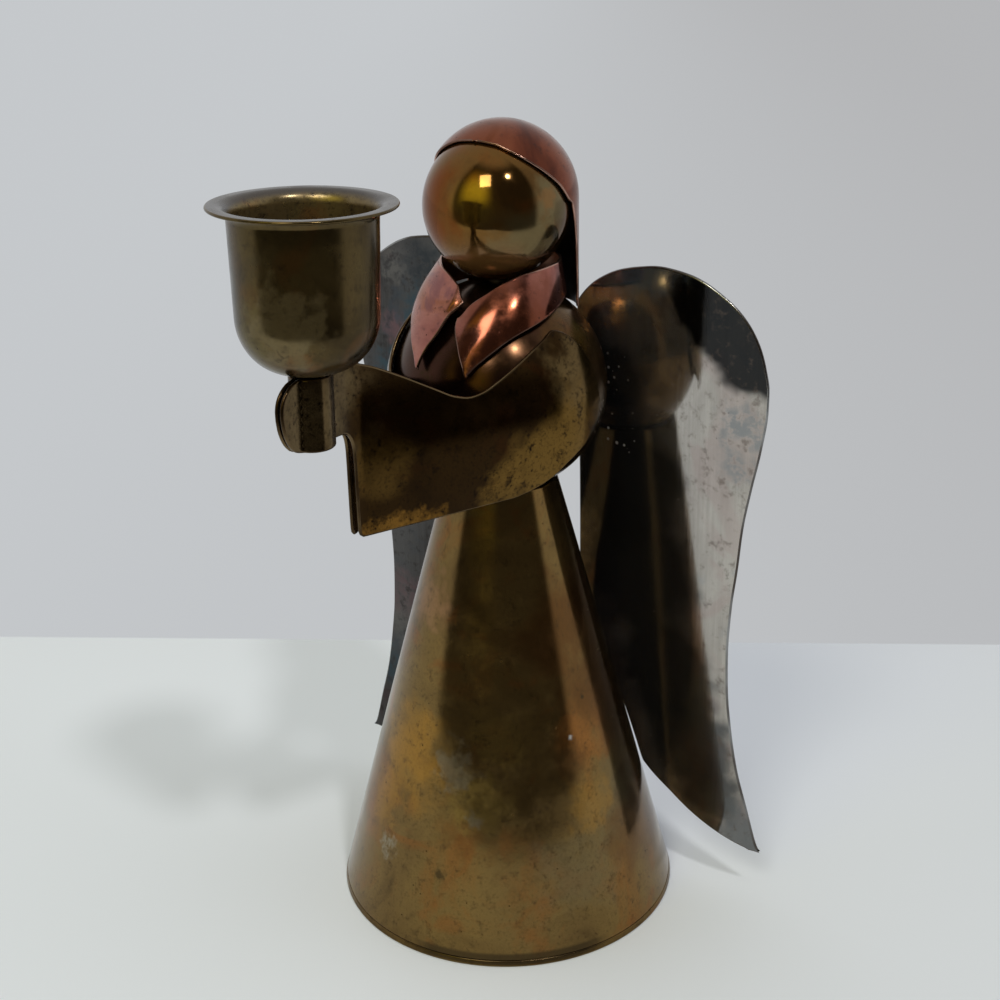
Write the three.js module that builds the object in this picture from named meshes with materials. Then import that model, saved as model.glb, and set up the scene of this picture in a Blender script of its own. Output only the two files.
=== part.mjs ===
// Angel candle holder: a figure stacked from turned and bent sheet metal on one tie rod.
// Millimetres, +Z up. The figure faces -Y, its left hand side is +X, and it stands on z = 0.
import * as THREE from 'three';

const { clamp, degToRad: degrees, lerp, smoothstep } = THREE.MathUtils;

// Fits
const CLEARANCE = 0.3;          // air left between two pieces that touch
const ARM_SHEET = 0.7;          // sheet thicknesses
const CUP_SHEET = 0.55;
const HOOD_SHEET = 0.5;
const SCARF_SHEET = 0.6;
const WING_SHEET = 0.7;
const SKIRT_SHEET = 0.8;

// Skirt: a cone of sheet closed below by a base plate
const SKIRT_RADIUS = 34;        // at the table
const SKIRT_RIM_RADIUS = 10.6;  // at the top
const SKIRT_HEIGHT = 88.4;
const BASE_HEIGHT = 1.2;
const BASE_CORNER = 0.25;

// Balls
const TORSO_RADIUS = 20;
const HEAD_RADIUS = 13.3;

// Tie rod, with the disc, washer and nut that pull the stack together inside the skirt
const ROD_RADIUS = 2;
const ROD_DEPTH_IN_HEAD = 9;
const ROD_TAIL = 2.2;           // rod showing below the nut
const ROD_CHAMFER = 0.5;
const DISC_HEIGHT = 2.6;
const DISC_DROP = 4.4;          // top of the disc below the rim of the skirt
const WASHER_RADIUS = 4.5;
const WASHER_HEIGHT = 0.9;
const NUT_ACROSS_FLATS = 7;
const NUT_HEIGHT = 3.2;

// Hood: a cap over the head that runs on down the back as a veil
const HOOD_ROOM = 0.35;         // inner radius of the cap over the head's radius
const HOOD_BACK = 1.6;          // centre of the cap behind the centre of the head
const HOOD_UP = 1.1;            // and above it
const VEIL_EDGE = 108;          // degrees from the front at which the veil's side edges hang
// Rim of the cap as [degrees from the front, elevation in degrees].
const HOOD_RIM = [[0, 54], [25, 51.5], [45, 43.5], [65, 31], [82, 16.5], [98, 0]];

// Scarf: a sheet bent round the neck, conical in front, upright behind.
// Its two ends lap in front, where the right one reaches across the middle.
// Lower and upper edges are [degrees round from the end, height above the top of the torso],
// the ends are [share of the height, degrees from the front].
const SCARF_RADIUS = 12;        // outer radius at SCARF_LEVEL
const SCARF_LEVEL = 0.8;        // above the top of the torso
const SCARF_FLARE_FRONT = 0.61;
const SCARF_FLARE_BACK = 0.15;
const SCARF_CROWN = 1;          // in front the sheet swells by this much between its edges
const SCARF_CONE_TURNS = [45, 110]; // degrees between which the cone turns upright
const SCARF_LEFT_END = [[0, 15.3], [0.5, 10.3], [1, 3.5]];
const SCARF_RIGHT_END = [[0, 12.5], [0.3, 9.8], [0.55, 5], [0.78, 1.8], [1, -6.3]];
const SCARF_LOWER = [
  [0, -12.6], [7, -10.7], [15, -8.9], [25, -7.1], [36, -5.8], [54, -4.6], [80, -3.4], [110, -2.6], [180, -2],
];
const SCARF_LEFT_UPPER = [[0, -3.7], [9, -1.4], [18, 0], [35, 1.9], [60, 3.3], [100, 4], [180, 4.2]];
const SCARF_RIGHT_UPPER = [[0, -0.9], [10, 1.4], [30, 2.9], [60, 3.6], [100, 4], [180, 4.2]];

// Candle cup: its size follows a standard 22 mm household taper
const CUP_BORE_RADIUS = 11.1;
const CUP_FLANGE_WIDTH = 3.05;  // beyond the wall
const CUP_HEIGHT = 26.2;
const CUP_WALL_DRAFT = 0.35;    // wall radius lost from the rim to the rounded bottom
const CUP_CORNER = [8, 9];      // half axes of the rounded bottom edge, across and along
const CUP_FLARE = 1.6;          // bend radius under the flange
const CUP_REACH = 52.7;         // rim centre in front of the rod
const CUP_LIFT = 0.5;           // bottom of the cup above the hands
const CUP_LEAN = 1.4;           // degrees, top toward the figure
const STEM_RADIUS = 2.6;
const TENON_RADIUS = 1.5;
const RIVET_RADIUS = 2.7;
const RIVET_CROWN = 1.9;        // radius of the flat on top of the rivet
const RIVET_HEIGHT = 0.9;

// Arms: one sheet each, from the shoulder over the sleeve and wrist to a hand clasped round the stem.
// Sleeve edges are [share of the sleeve's length, height above the centre of the torso].
const CUFF_REACH = 44.5;        // cuff in front of the rod
const CUFF_BEND = 8;            // bend radius between sleeve and wrist
const RIGHT_SLEEVE_BOW = 3.2;   // the right sleeve is bent in by this much half way along
const RIGHT_SLEEVE_DROP = 4;    // and its upper edge dips this much deeper
const CHEST_TUCK = 0.35;        // how far the sleeve follows the ball below its equator
const HAND_BOTTOM = 4.9;        // heights above the centre of the torso
const HAND_TOP = 17;
const FINGER_LENGTH = 4.9;      // flat end of the hand beyond the stem
const FINGER_TIP = 12.5;        // height of its rounded tip
const SLEEVE_LOWER = [
  [-0.272, 0.5], [-0.255, -2.6], [-0.22, -4.6], [-0.168, -7.1], [-0.118, -8.5], [-0.07, -9.7],
  [-0.03, -10.9], [0.01, -12], [0.06, -13], [0.13, -13.9], [0.22, -14.5], [0.97, -14.5],
];
const SLEEVE_UPPER = [
  [-0.272, 0.8], [-0.264, 5], [-0.236, 8.7], [-0.19, 11.7], [-0.127, 13.3], [-0.066, 13.8],
  [0, 12.9], [0.1, 11.3], [0.2, 9.5], [0.29, 7.9], [0.37, 6.7], [0.43, 6.4], [0.5, 7],
  [0.6, 9], [0.75, 12.2], [0.9, 15.1], [0.96, 16],
];

const SLEEVE_DIP = 11;          // which point of the upper edge is the lowest
// Lower edge at the cuff as [distance past the cuff, height above the centre of the torso].
const CUFF_LOWER = [[-0.3, -14], [0, -13], [0.15, 0.5], [0.6, 3], [1.3, 4.2], [2.4, 4.8]];

// Wings: each lies on the back of the torso, comes forward as it goes out, and bends back further out.
// Its outline is [share of the span, share of the height] from the tip upward.
const WING_SPAN = 48.5;
const WING_RISE = 1.8;          // top of the wings above the top of the torso
const WING_HEIGHT = 118.2;
const WING_INNER_EDGE = 5.1;    // least distance of the inner edge from the middle of the figure
const WING_SLANT = 0.134;       // coming forward per millimetre outward
const WING_FLAT_TO = 25.4;      // distance from the middle where the bend begins
const WING_BEND = 81;           // radius of the bend
const WING_CURL = 1.75;         // the top leans forward by this much
const WING_CURL_FROM = 0.41;    // share of the height where the lean begins
const WING_EDGE_ROOM = 0.06;    // room for the tilt of the sheet where it fits round the figure
const WING_OUTER = [
  [1, 0], [0.984, 0.02], [0.944, 0.078], [0.893, 0.151], [0.86, 0.225], [0.839, 0.299], [0.833, 0.372],
  [0.841, 0.447], [0.86, 0.519], [0.876, 0.591], [0.905, 0.661], [0.938, 0.73], [0.955, 0.796],
  [0.951, 0.828], [0.938, 0.86], [0.915, 0.889], [0.876, 0.919], [0.821, 0.948], [0.717, 0.979],
  [0.63, 0.996], [0.585, 0.9993], [0.545, 1],
];
const WING_INNER = [
  [0.955, 0], [0.891, 0.008], [0.808, 0.02], [0.688, 0.044], [0.587, 0.07], [0.492, 0.094], [0.406, 0.125],
  [0.326, 0.168], [0.222, 0.254], [0.129, 0.392], [0.105, 0.473], [0.103, 0.92], [0.119, 0.931],
  [0.178, 0.954], [0.227, 0.966], [0.293, 0.978], [0.364, 0.9865], [0.433, 0.993], [0.48, 0.9968],
  [0.515, 0.9991], [0.545, 1],
];

// How finely round things are divided
const SKIRT_TURNS = 64;
const BALL_TURNS = 28;
const BALL_RINGS = 14;
const CUP_TURNS = 36;
const ROD_TURNS = 20;
const SAME_POINT = 1e-4;        // points closer than this are one point
const MIN_STATION = 0.12;       // least distance between two rows of points along an arm
const FIT_PASSES = 8;           // how often a wing's inner edge is fitted to the figure

// Sizes that follow from the ones above
const skirtSlope = (SKIRT_RADIUS - SKIRT_RIM_RADIUS) / SKIRT_HEIGHT;
const skirtWall = SKIRT_SHEET * Math.hypot(1, skirtSlope);
const skirtRimBore = SKIRT_RIM_RADIUS - skirtWall;
const torsoZ = SKIRT_HEIGHT + Math.sqrt((TORSO_RADIUS + CLEARANCE) ** 2 - skirtRimBore ** 2);
const neckZ = torsoZ + TORSO_RADIUS;
const headZ = neckZ + CLEARANCE + HEAD_RADIUS;
const hoodRadius = HEAD_RADIUS + HOOD_ROOM + HOOD_SHEET;
const veilFoot = torsoZ + Math.sqrt((TORSO_RADIUS + CLEARANCE) ** 2 - (HOOD_BACK + hoodRadius) ** 2);
const wingTip = neckZ + WING_RISE - WING_HEIGHT;
const wingLean = (level) => WING_CURL * (Math.max(0, level - WING_CURL_FROM) / (1 - WING_CURL_FROM)) ** 2;
const wingReach = TORSO_RADIUS + CLEARANCE + WING_SHEET / 2 + WING_EDGE_ROOM;
const wingLeanAtTorso = wingLean((torsoZ - wingTip) / WING_HEIGHT);
const wingStand = Math.sqrt(wingReach ** 2 - WING_INNER_EDGE ** 2) + wingLeanAtTorso;
const rodBore = ROD_RADIUS + CLEARANCE;
const cupRimZ = torsoZ + HAND_TOP + CUP_LIFT + CUP_HEIGHT;
const wristOffset = (CLEARANCE + ARM_SHEET) / 2;
const claspRadius = STEM_RADIUS + CLEARANCE + ARM_SHEET / 2;
const handMiddle = torsoZ + (HAND_BOTTOM + HAND_TOP) / 2;
const stemY = -CUP_REACH - Math.tan(degrees(CUP_LEAN)) * (cupRimZ - handMiddle);

const skirtRadiusAt = (z) => SKIRT_RADIUS - skirtSlope * z;

// A smooth curve y(x) through points sorted by x that never swings past a point.
function curveThrough(points) {
  const slopes = points.map((point, i) => {
    if (i === 0 || i === points.length - 1) return 0;
    const before = (point[1] - points[i - 1][1]) / (point[0] - points[i - 1][0]);
    const after = (points[i + 1][1] - point[1]) / (points[i + 1][0] - point[0]);
    return before * after <= 0 ? 0 : (2 * before * after) / (before + after);
  });
  return (x) => {
    const last = points.length - 1;
    if (x <= points[0][0]) return points[0][1];
    if (x >= points[last][0]) return points[last][1];
    const i = points.findIndex((point) => point[0] > x) - 1;
    const width = points[i + 1][0] - points[i][0];
    const t = (x - points[i][0]) / width;
    const bend = t * t * (3 - 2 * t);
    const rise = points[i][1] * (1 - bend) + points[i + 1][1] * bend;
    const lean = slopes[i] * t * (1 - t) * (1 - t) - slopes[i + 1] * t * t * (1 - t);
    return rise + width * lean;
  };
}

function geometryFrom(points, triangles) {
  const geometry = new THREE.BufferGeometry();
  const numbers = points.flatMap((p) => [p.x, p.y, p.z]);
  geometry.setAttribute('position', new THREE.Float32BufferAttribute(numbers, 3));
  geometry.setIndex(triangles.flat());
  geometry.computeVertexNormals();
  return geometry;
}

const isTriangle = ([a, b, c]) => a !== b && b !== c && c !== a;

// Turns an outline of [radius, height] points about the rod. It is drawn upward on the outside,
// and either starts and ends on the axis or is closed.
function turned(outline, steps) {
  const points = outline.map(([radius, height]) => new THREE.Vector2(radius, height));
  if (points[0].x > 0) points.push(points[0]);
  return new THREE.LatheGeometry(points, steps).rotateX(Math.PI / 2);
}

// Gives a grid of middle-surface points its thickness. Grid points that coincide are one point.
function sheet(rows, thickness) {
  const points = [];
  const grid = rows.map((row) => row.map((point) => {
    const known = points.findIndex((other) => other.distanceTo(point) < SAME_POINT);
    return known < 0 ? points.push(point) - 1 : known;
  }));
  const faces = [];
  for (let r = 0; r + 1 < grid.length; r += 1) {
    for (let c = 0; c + 1 < grid[r].length; c += 1) {
      const [a, b, d, e] = [grid[r][c], grid[r][c + 1], grid[r + 1][c + 1], grid[r + 1][c]];
      faces.push([a, b, d], [a, d, e]);
    }
  }
  const kept = faces.filter(isTriangle);
  const normals = points.map(() => new THREE.Vector3());
  for (const [a, b, c] of kept) {
    const across = points[b].clone().sub(points[a]).cross(points[c].clone().sub(points[a]));
    [a, b, c].forEach((i) => normals[i].add(across));
  }
  normals.forEach((normal) => normal.normalize());
  const count = points.length;
  const shifted = (distance) => points.map((point, i) => point.clone().addScaledVector(normals[i], distance));
  const triangles = kept.flatMap(([a, b, c]) => [[a, b, c], [a + count, c + count, b + count]]);
  const edges = new Set(kept.flatMap(([a, b, c]) => [`${a} ${b}`, `${b} ${c}`, `${c} ${a}`]));
  for (const edge of edges) {
    const [a, b] = edge.split(' ').map(Number);
    if (!edges.has(`${b} ${a}`)) {
      triangles.push([a + count, b + count, b], [a + count, b, a]);
    }
  }
  return geometryFrom([...shifted(thickness / 2), ...shifted(-thickness / 2)], triangles);
}

function skirt() {
  const bottom = BASE_HEIGHT + CLEARANCE;
  return turned([
    [skirtRadiusAt(bottom) - skirtWall, bottom],
    [skirtRadiusAt(bottom), bottom],
    [SKIRT_RIM_RADIUS, SKIRT_HEIGHT],
    [skirtRimBore, SKIRT_HEIGHT],
  ], SKIRT_TURNS);
}

function basePlate() {
  return turned([
    [0, 0],
    [SKIRT_RADIUS - BASE_CORNER, 0],
    [SKIRT_RADIUS, BASE_CORNER],
    [skirtRadiusAt(BASE_HEIGHT), BASE_HEIGHT],
    [0, BASE_HEIGHT],
  ], SKIRT_TURNS);
}

// A ball bored from below for the rod; a bore as deep as the ball goes right through.
function ball(radius, boreRadius, boreDepth) {
  const start = Math.asin(boreRadius / radius);
  const through = boreDepth >= 2 * radius;
  const end = through ? Math.PI - start : Math.PI;
  const skin = Array.from({ length: BALL_RINGS + 1 }, (_, i) => {
    const angle = lerp(start, end, i / BALL_RINGS);
    return [radius * Math.sin(angle), -radius * Math.cos(angle)];
  });
  const boreEnd = through ? [] : [[0, boreDepth - radius], [boreRadius, boreDepth - radius]];
  return turned([...boreEnd, ...skin], BALL_TURNS);
}

const discTop = SKIRT_HEIGHT - DISC_DROP;
const discBottom = discTop - DISC_HEIGHT;
const washerTop = discBottom - CLEARANCE;
const nutTop = washerTop - WASHER_HEIGHT - CLEARANCE;
const rodBottom = nutTop - NUT_HEIGHT - ROD_TAIL;
const rodTop = headZ - HEAD_RADIUS + ROD_DEPTH_IN_HEAD - CLEARANCE;

function ring(innerRadius, lowerRadius, upperRadius, bottom, top) {
  const outline = [[innerRadius, bottom], [lowerRadius, bottom], [upperRadius, top], [innerRadius, top]];
  return turned(outline, ROD_TURNS);
}

function spreaderDisc() {
  const gap = skirtWall + CLEARANCE * Math.hypot(1, skirtSlope);
  return ring(rodBore, skirtRadiusAt(discBottom) - gap, skirtRadiusAt(discTop) - gap, discBottom, discTop);
}

function hexNut() {
  const outline = new THREE.Shape();
  const cornerRadius = NUT_ACROSS_FLATS / Math.sqrt(3);
  outline.setFromPoints(Array.from({ length: 6 }, (_, i) => {
    const angle = (Math.PI * i) / 3;
    return new THREE.Vector2(cornerRadius * Math.cos(angle), cornerRadius * Math.sin(angle));
  }));
  const hole = new THREE.Path();
  hole.absarc(0, 0, rodBore, 0, 2 * Math.PI);
  outline.holes.push(hole);
  const options = { depth: NUT_HEIGHT, bevelEnabled: false, curveSegments: ROD_TURNS };
  return new THREE.ExtrudeGeometry(outline, options).translate(0, 0, nutTop - NUT_HEIGHT);
}

function tieRod() {
  return turned([
    [0, rodBottom],
    [ROD_RADIUS - ROD_CHAMFER, rodBottom],
    [ROD_RADIUS, rodBottom + ROD_CHAMFER],
    [ROD_RADIUS, rodTop - ROD_CHAMFER],
    [ROD_RADIUS - ROD_CHAMFER, rodTop],
    [0, rodTop],
  ], ROD_TURNS);
}

// Rows run down from the crown. In front they stop at the rim, behind they go on as the veil.
function hood() {
  const rim = curveThrough(HOOD_RIM);
  const rimEnd = HOOD_RIM[HOOD_RIM.length - 1][0];
  const radius = hoodRadius - HOOD_SHEET / 2;
  const centre = new THREE.Vector3(0, HOOD_BACK, headZ + HOOD_UP);
  const half = [0, 12, 25, 35, 45, 55, 65, 74, 82, 90, rimEnd, VEIL_EDGE, 120, 132, 144, 156, 168, 180];
  const turns = [...half, ...half.slice(0, -1).reverse().map((angle) => 360 - angle)];
  const elevations = [90, 78, 66, 54, 42, 31, 20, 10, 0];
  const drops = [0.33, 0.67, 1];
  const place = (turn, elevation, drop) => {
    const angle = degrees(turn);
    const out = radius * Math.cos(degrees(elevation));
    const up = radius * Math.sin(degrees(elevation));
    return new THREE.Vector3(out * Math.sin(angle), -out * Math.cos(angle), up - drop).add(centre);
  };
  // The veil ends where it meets the torso.
  const veilLength = (turn) => {
    const foot = place(turn, 0, 0);
    const reach = TORSO_RADIUS + CLEARANCE + HOOD_SHEET / 2;
    return centre.z - torsoZ - Math.sqrt(reach ** 2 - foot.x ** 2 - foot.y ** 2);
  };
  const lowest = (turn) => rim(Math.min(turn, 360 - turn));
  const cap = elevations.map((elevation) => turns.map((turn) => {
    return place(turn, Math.max(elevation, lowest(turn)), 0);
  }));
  const veil = drops.map((share) => turns.map((turn) => {
    const behind = Math.min(turn, 360 - turn) >= VEIL_EDGE;
    return place(turn, lowest(turn), behind ? share * veilLength(turn) : 0);
  }));
  return sheet([...cap, ...veil], HOOD_SHEET);
}

function scarf() {
  const lower = curveThrough(SCARF_LOWER);
  const stations = [0, 4, 8, 13, 19, 26, 35, 45, 57, 70, 85, 105, 125, 145, 163, 180];
  const levels = [0, 0.2, 0.4, 0.6, 0.8, 1];
  // The sheet keeps outside a ball at this height above the ball's centre.
  const outside = (ballRadius, height) => {
    const reach = ballRadius + CLEARANCE + SCARF_SHEET;
    return Math.sqrt(Math.max(reach ** 2 - height ** 2, 0));
  };
  const halfScarf = (side, endPoints, upperPoints) => {
    const end = curveThrough(endPoints);
    const upper = curveThrough(upperPoints);
    return stations.map((station) => levels.map((level) => {
      const turn = lerp(end(level), 180, station / 180);
      const height = lerp(lower(station), upper(station), level);
      const flare = lerp(SCARF_FLARE_FRONT, SCARF_FLARE_BACK, smoothstep(turn, ...SCARF_CONE_TURNS));
      const inset = (SCARF_SHEET / 2) * Math.hypot(1, flare);
      const inFront = 1 - smoothstep(turn, ...SCARF_CONE_TURNS);
      const swell = SCARF_CROWN * 4 * level * (1 - level) * inFront;
      const cone = SCARF_RADIUS + flare * (SCARF_LEVEL - height) + swell - inset;
      const z = neckZ + height;
      const radius = Math.max(cone, outside(TORSO_RADIUS, z - torsoZ), outside(HEAD_RADIUS, z - headZ));
      const angle = side * degrees(turn);
      return new THREE.Vector3(radius * Math.sin(angle), -radius * Math.cos(angle), z);
    }));
  };
  const right = halfScarf(-1, SCARF_RIGHT_END, SCARF_RIGHT_UPPER);
  const left = halfScarf(1, SCARF_LEFT_END, SCARF_LEFT_UPPER);
  return sheet([...right, ...left.reverse().slice(1)], SCARF_SHEET);
}

// The arm in plan: round the torso, straight to the cuff, along the wrist, round the stem, out to the finger.
// Gives the place and the outward direction at a distance u from where the sleeve leaves the torso.
const armRadius = TORSO_RADIUS + CLEARANCE + ARM_SHEET / 2;
const armTurn = Math.atan2(wristOffset, CUFF_REACH)
  + Math.acos(armRadius / Math.hypot(wristOffset, CUFF_REACH));
const sleeveLength = (armRadius * Math.sin(armTurn) - wristOffset) / Math.cos(armTurn);
const bendAngle = Math.PI / 2 - armTurn;
const bendStart = sleeveLength - CUFF_BEND * Math.tan(bendAngle / 2);
const bendEnd = bendStart + CUFF_BEND * bendAngle;
const wristStart = -CUFF_REACH - CUFF_BEND * Math.tan(bendAngle / 2);
const claspHalf = Math.sqrt(claspRadius ** 2 - wristOffset ** 2);
const claspStart = bendEnd + wristStart - (stemY + claspHalf);
const claspAngle = Math.acos(wristOffset / claspRadius);
const claspEnd = claspStart + 2 * claspAngle * claspRadius;
const armEnd = claspEnd + FINGER_LENGTH;

function armPlan(u) {
  const outward = (turn) => new THREE.Vector2(Math.sin(turn), -Math.cos(turn));
  if (u <= 0) {
    const normal = outward(armTurn - u / armRadius);
    return { place: normal.clone().multiplyScalar(armRadius), normal };
  }
  const normal = outward(armTurn);
  const along = new THREE.Vector2(-Math.cos(armTurn), -Math.sin(armTurn));
  const leave = normal.clone().multiplyScalar(armRadius);
  if (u <= bendStart) return { place: leave.addScaledVector(along, u), normal };
  if (u <= bendEnd) {
    const bent = outward(armTurn + (u - bendStart) / CUFF_BEND);
    const middle = leave.addScaledVector(along, bendStart).addScaledVector(normal, CUFF_BEND);
    return { place: middle.addScaledVector(bent, -CUFF_BEND), normal: bent };
  }
  const sideways = new THREE.Vector2(1, 0);
  if (u <= claspStart) {
    return { place: new THREE.Vector2(wristOffset, wristStart - (u - bendEnd)), normal: sideways };
  }
  if (u <= claspEnd) {
    const angle = claspAngle - (u - claspStart) / claspRadius;
    const round = new THREE.Vector2(Math.cos(angle), Math.sin(angle));
    const place = round.clone().multiplyScalar(claspRadius);
    return { place: place.add(new THREE.Vector2(0, stemY)), normal: round };
  }
  return { place: new THREE.Vector2(wristOffset, stemY - claspHalf - (u - claspEnd)), normal: sideways };
}

// The sleeve is hollowed to lie on the torso, less and less toward the cuff.
function armPoint(side, u, height) {
  const { place, normal } = armPlan(u);
  const share = clamp(u / sleeveLength, 0, 1);
  const hollow = armRadius - Math.sqrt(armRadius ** 2 - height ** 2);
  const follow = (1 - share) * (height < 0 ? CHEST_TUCK : 1);
  const bow = side < 0 ? RIGHT_SLEEVE_BOW * Math.sin(Math.PI * share) ** 2 : 0;
  place.addScaledVector(normal, -follow * hollow - bow);
  const handed = clamp((u - bendEnd) / (claspStart - bendEnd), 0, 1);
  const lean = handed * Math.tan(degrees(CUP_LEAN)) * (torsoZ + height - handMiddle);
  return new THREE.Vector3(side * place.x, place.y + lean, torsoZ + height);
}

// side is 1 for the left arm and -1 for the right one
function arm(side) {
  const sleeve = (edge) => edge.map(([share, height]) => [share * sleeveLength, height]);
  const cuff = CUFF_REACH - Math.abs(wristStart) + bendEnd;
  const roundEnd = (from) => [0, 0.35, 0.62, 0.82, 0.94, 0.99].map((share) => [
    claspEnd + share * FINGER_LENGTH,
    lerp(FINGER_TIP, from, Math.sqrt(1 - share ** 2)),
  ]);
  const cuffLower = CUFF_LOWER.map(([past, height]) => [cuff + past, height]);
  const lower = [...sleeve(SLEEVE_LOWER), ...cuffLower, [claspStart, HAND_BOTTOM], ...roundEnd(HAND_BOTTOM)];
  const upper = [...sleeve(SLEEVE_UPPER), [cuff, HAND_TOP], [claspStart, HAND_TOP], ...roundEnd(HAND_TOP)];
  const between = (from, to, count) => Array.from({ length: count + 1 }, (_, i) => lerp(from, to, i / count));
  const clasp = between(claspStart, claspEnd, 8);
  const bend = between(bendStart, bendEnd, 3);
  const all = [...lower, ...upper].map(([u]) => u).concat(clasp, bend).sort((a, b) => a - b);
  const stations = all.filter((u, i) => i === 0 || u - all[i - 1] > MIN_STATION);
  const lowerAt = curveThrough(lower);
  const upperAt = curveThrough(upper);
  const dipShare = SLEEVE_UPPER[SLEEVE_DIP][0];
  const drop = (u) => {
    const share = clamp(u / sleeveLength / dipShare, 0, 1);
    return side < 0 ? RIGHT_SLEEVE_DROP * Math.sin(Math.PI * share) ** 2 : 0;
  };
  const levels = [0, 0.17, 0.33, 0.5, 0.67, 0.83, 1];
  return sheet(stations.map((u) => levels.map((level) => {
    return armPoint(side, u, lerp(lowerAt(u), upperAt(u) - drop(u), level));
  })), ARM_SHEET);
}

// The cup and its stem are drawn upright, with the middle of the cup's rim at the origin.
function candleCup() {
  const wall = CUP_BORE_RADIUS + CUP_SHEET;
  const foot = wall - CUP_WALL_DRAFT;
  const [across, along] = CUP_CORNER;
  const rounded = (inset) => [0, 18, 36, 54, 72, 90].map((angle) => [
    foot - across + (across - inset) * Math.sin(degrees(angle)),
    along - CUP_HEIGHT - (along - inset) * Math.cos(degrees(angle)),
  ]);
  const flare = (radius) => [0, 30, 60, 90].map((angle) => [
    wall + CUP_FLARE - radius * Math.cos(degrees(angle)),
    -CUP_FLARE - CUP_SHEET + radius * Math.sin(degrees(angle)),
  ]);
  const hole = TENON_RADIUS + CLEARANCE;
  return turned([
    [hole, -CUP_HEIGHT],
    ...rounded(0),
    ...flare(CUP_FLARE),
    [wall + CUP_FLANGE_WIDTH, -CUP_SHEET],
    [wall + CUP_FLANGE_WIDTH, 0],
    ...flare(CUP_FLARE + CUP_SHEET).reverse(),
    ...rounded(CUP_SHEET).reverse(),
    [hole, CUP_SHEET - CUP_HEIGHT],
  ], CUP_TURNS);
}

// The stem's tenon goes up through the cup's floor and is riveted over inside.
function cupStem() {
  const bottom = (torsoZ + HAND_BOTTOM - cupRimZ) / Math.cos(degrees(CUP_LEAN));
  const seat = -CUP_HEIGHT - CLEARANCE;
  const head = CUP_SHEET - CUP_HEIGHT + CLEARANCE;
  return turned([
    [0, bottom],
    [STEM_RADIUS, bottom],
    [STEM_RADIUS, seat],
    [TENON_RADIUS, seat],
    [TENON_RADIUS, head],
    [RIVET_RADIUS, head],
    [RIVET_CROWN, head + RIVET_HEIGHT],
    [0, head + RIVET_HEIGHT],
  ], ROD_TURNS);
}

// A wing lies on the torso's back; its inner edge fits round the skirt, the torso and the veil.
function wing(side) {
  const outer = curveThrough(WING_OUTER.map(([share, height]) => [height, share * WING_SPAN]));
  const inner = curveThrough(WING_INNER.map(([share, height]) => [height, share * WING_SPAN]));
  const depth = (s, level) => {
    const bend = Math.max(0, s - WING_FLAT_TO) ** 2 / (2 * WING_BEND);
    return wingStand - WING_SLANT * (s - WING_INNER_EDGE) + bend - wingLean(level);
  };
  const innerEdge = (level) => {
    const z = wingTip + WING_HEIGHT * level;
    let s = Math.max(inner(level), WING_INNER_EDGE);
    for (let pass = 0; pass < FIT_PASSES; pass += 1) {
      const face = depth(s, level) - WING_SHEET / 2 - WING_EDGE_ROOM;
      const ballReach = (TORSO_RADIUS + CLEARANCE) ** 2 - (z - torsoZ) ** 2 - face ** 2;
      const skirtReach = z < SKIRT_HEIGHT ? (skirtRadiusAt(z) + CLEARANCE) ** 2 - face ** 2 : 0;
      const besideVeil = z > veilFoot - CLEARANCE;
      const veilReach = besideVeil ? (hoodRadius + CLEARANCE) ** 2 - (face - HOOD_BACK) ** 2 : 0;
      s = Math.max(s, Math.sqrt(Math.max(ballReach, skirtReach, veilReach, 0)));
    }
    return s;
  };
  const levels = [
    0, 0.007, 0.02, 0.044, 0.07, 0.094, 0.125, 0.168, 0.21, 0.254, 0.3, 0.345, 0.392, 0.43, 0.473, 0.53, 0.59,
    0.65, 0.695, 0.73, 0.77, 0.81, 0.85, 0.885, 0.92, 0.931, 0.954, 0.966, 0.978, 0.9865, 0.993, 0.9968,
    0.9991, 1,
  ];
  const shares = [0, 0.17, 0.33, 0.5, 0.67, 0.83, 1];
  return sheet(levels.map((level) => shares.map((share) => {
    const s = lerp(innerEdge(level), outer(level), share);
    return new THREE.Vector3(side * s, depth(s, level), wingTip + WING_HEIGHT * level);
  })), WING_SHEET);
}

const metal = (color, roughness) => new THREE.MeshStandardMaterial({ color, roughness, metalness: 1 });
const brass = metal(0x8f7a45, 0.15);
const copper = metal(0xb5796a, 0.2);
const silverPlate = metal(0x8c8c90, 0.35);
const steel = metal(0x9a9a9a, 0.4);

const figure = new THREE.Group();
const candleHolder = new THREE.Group();
candleHolder.position.set(0, -CUP_REACH, cupRimZ);
candleHolder.rotation.x = -degrees(CUP_LEAN);
figure.add(candleHolder);

function piece(name, geometry, material, parent = figure) {
  const mesh = new THREE.Mesh(geometry, material);
  mesh.name = name;
  parent.add(mesh);
  return mesh;
}

piece('base_plate', basePlate(), brass);
piece('skirt', skirt(), brass);
piece('spreader_disc', spreaderDisc(), steel);
piece('washer', ring(rodBore, WASHER_RADIUS, WASHER_RADIUS, washerTop - WASHER_HEIGHT, washerTop), steel);
piece('hex_nut', hexNut(), steel);
piece('tie_rod', tieRod(), steel);
piece('torso_ball', ball(TORSO_RADIUS, rodBore, 2 * TORSO_RADIUS), brass).position.z = torsoZ;
piece('head_ball', ball(HEAD_RADIUS, rodBore, ROD_DEPTH_IN_HEAD), brass).position.z = headZ;
piece('scarf', scarf(), copper);
piece('hood', hood(), copper);
piece('arm_left', arm(1), brass);
piece('arm_right', arm(-1), brass);
piece('wing_left', wing(1), silverPlate);
piece('wing_right', wing(-1), silverPlate);
piece('candle_cup', candleCup(), brass, candleHolder);
piece('cup_stem', cupStem(), brass, candleHolder);

export default figure;
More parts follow.
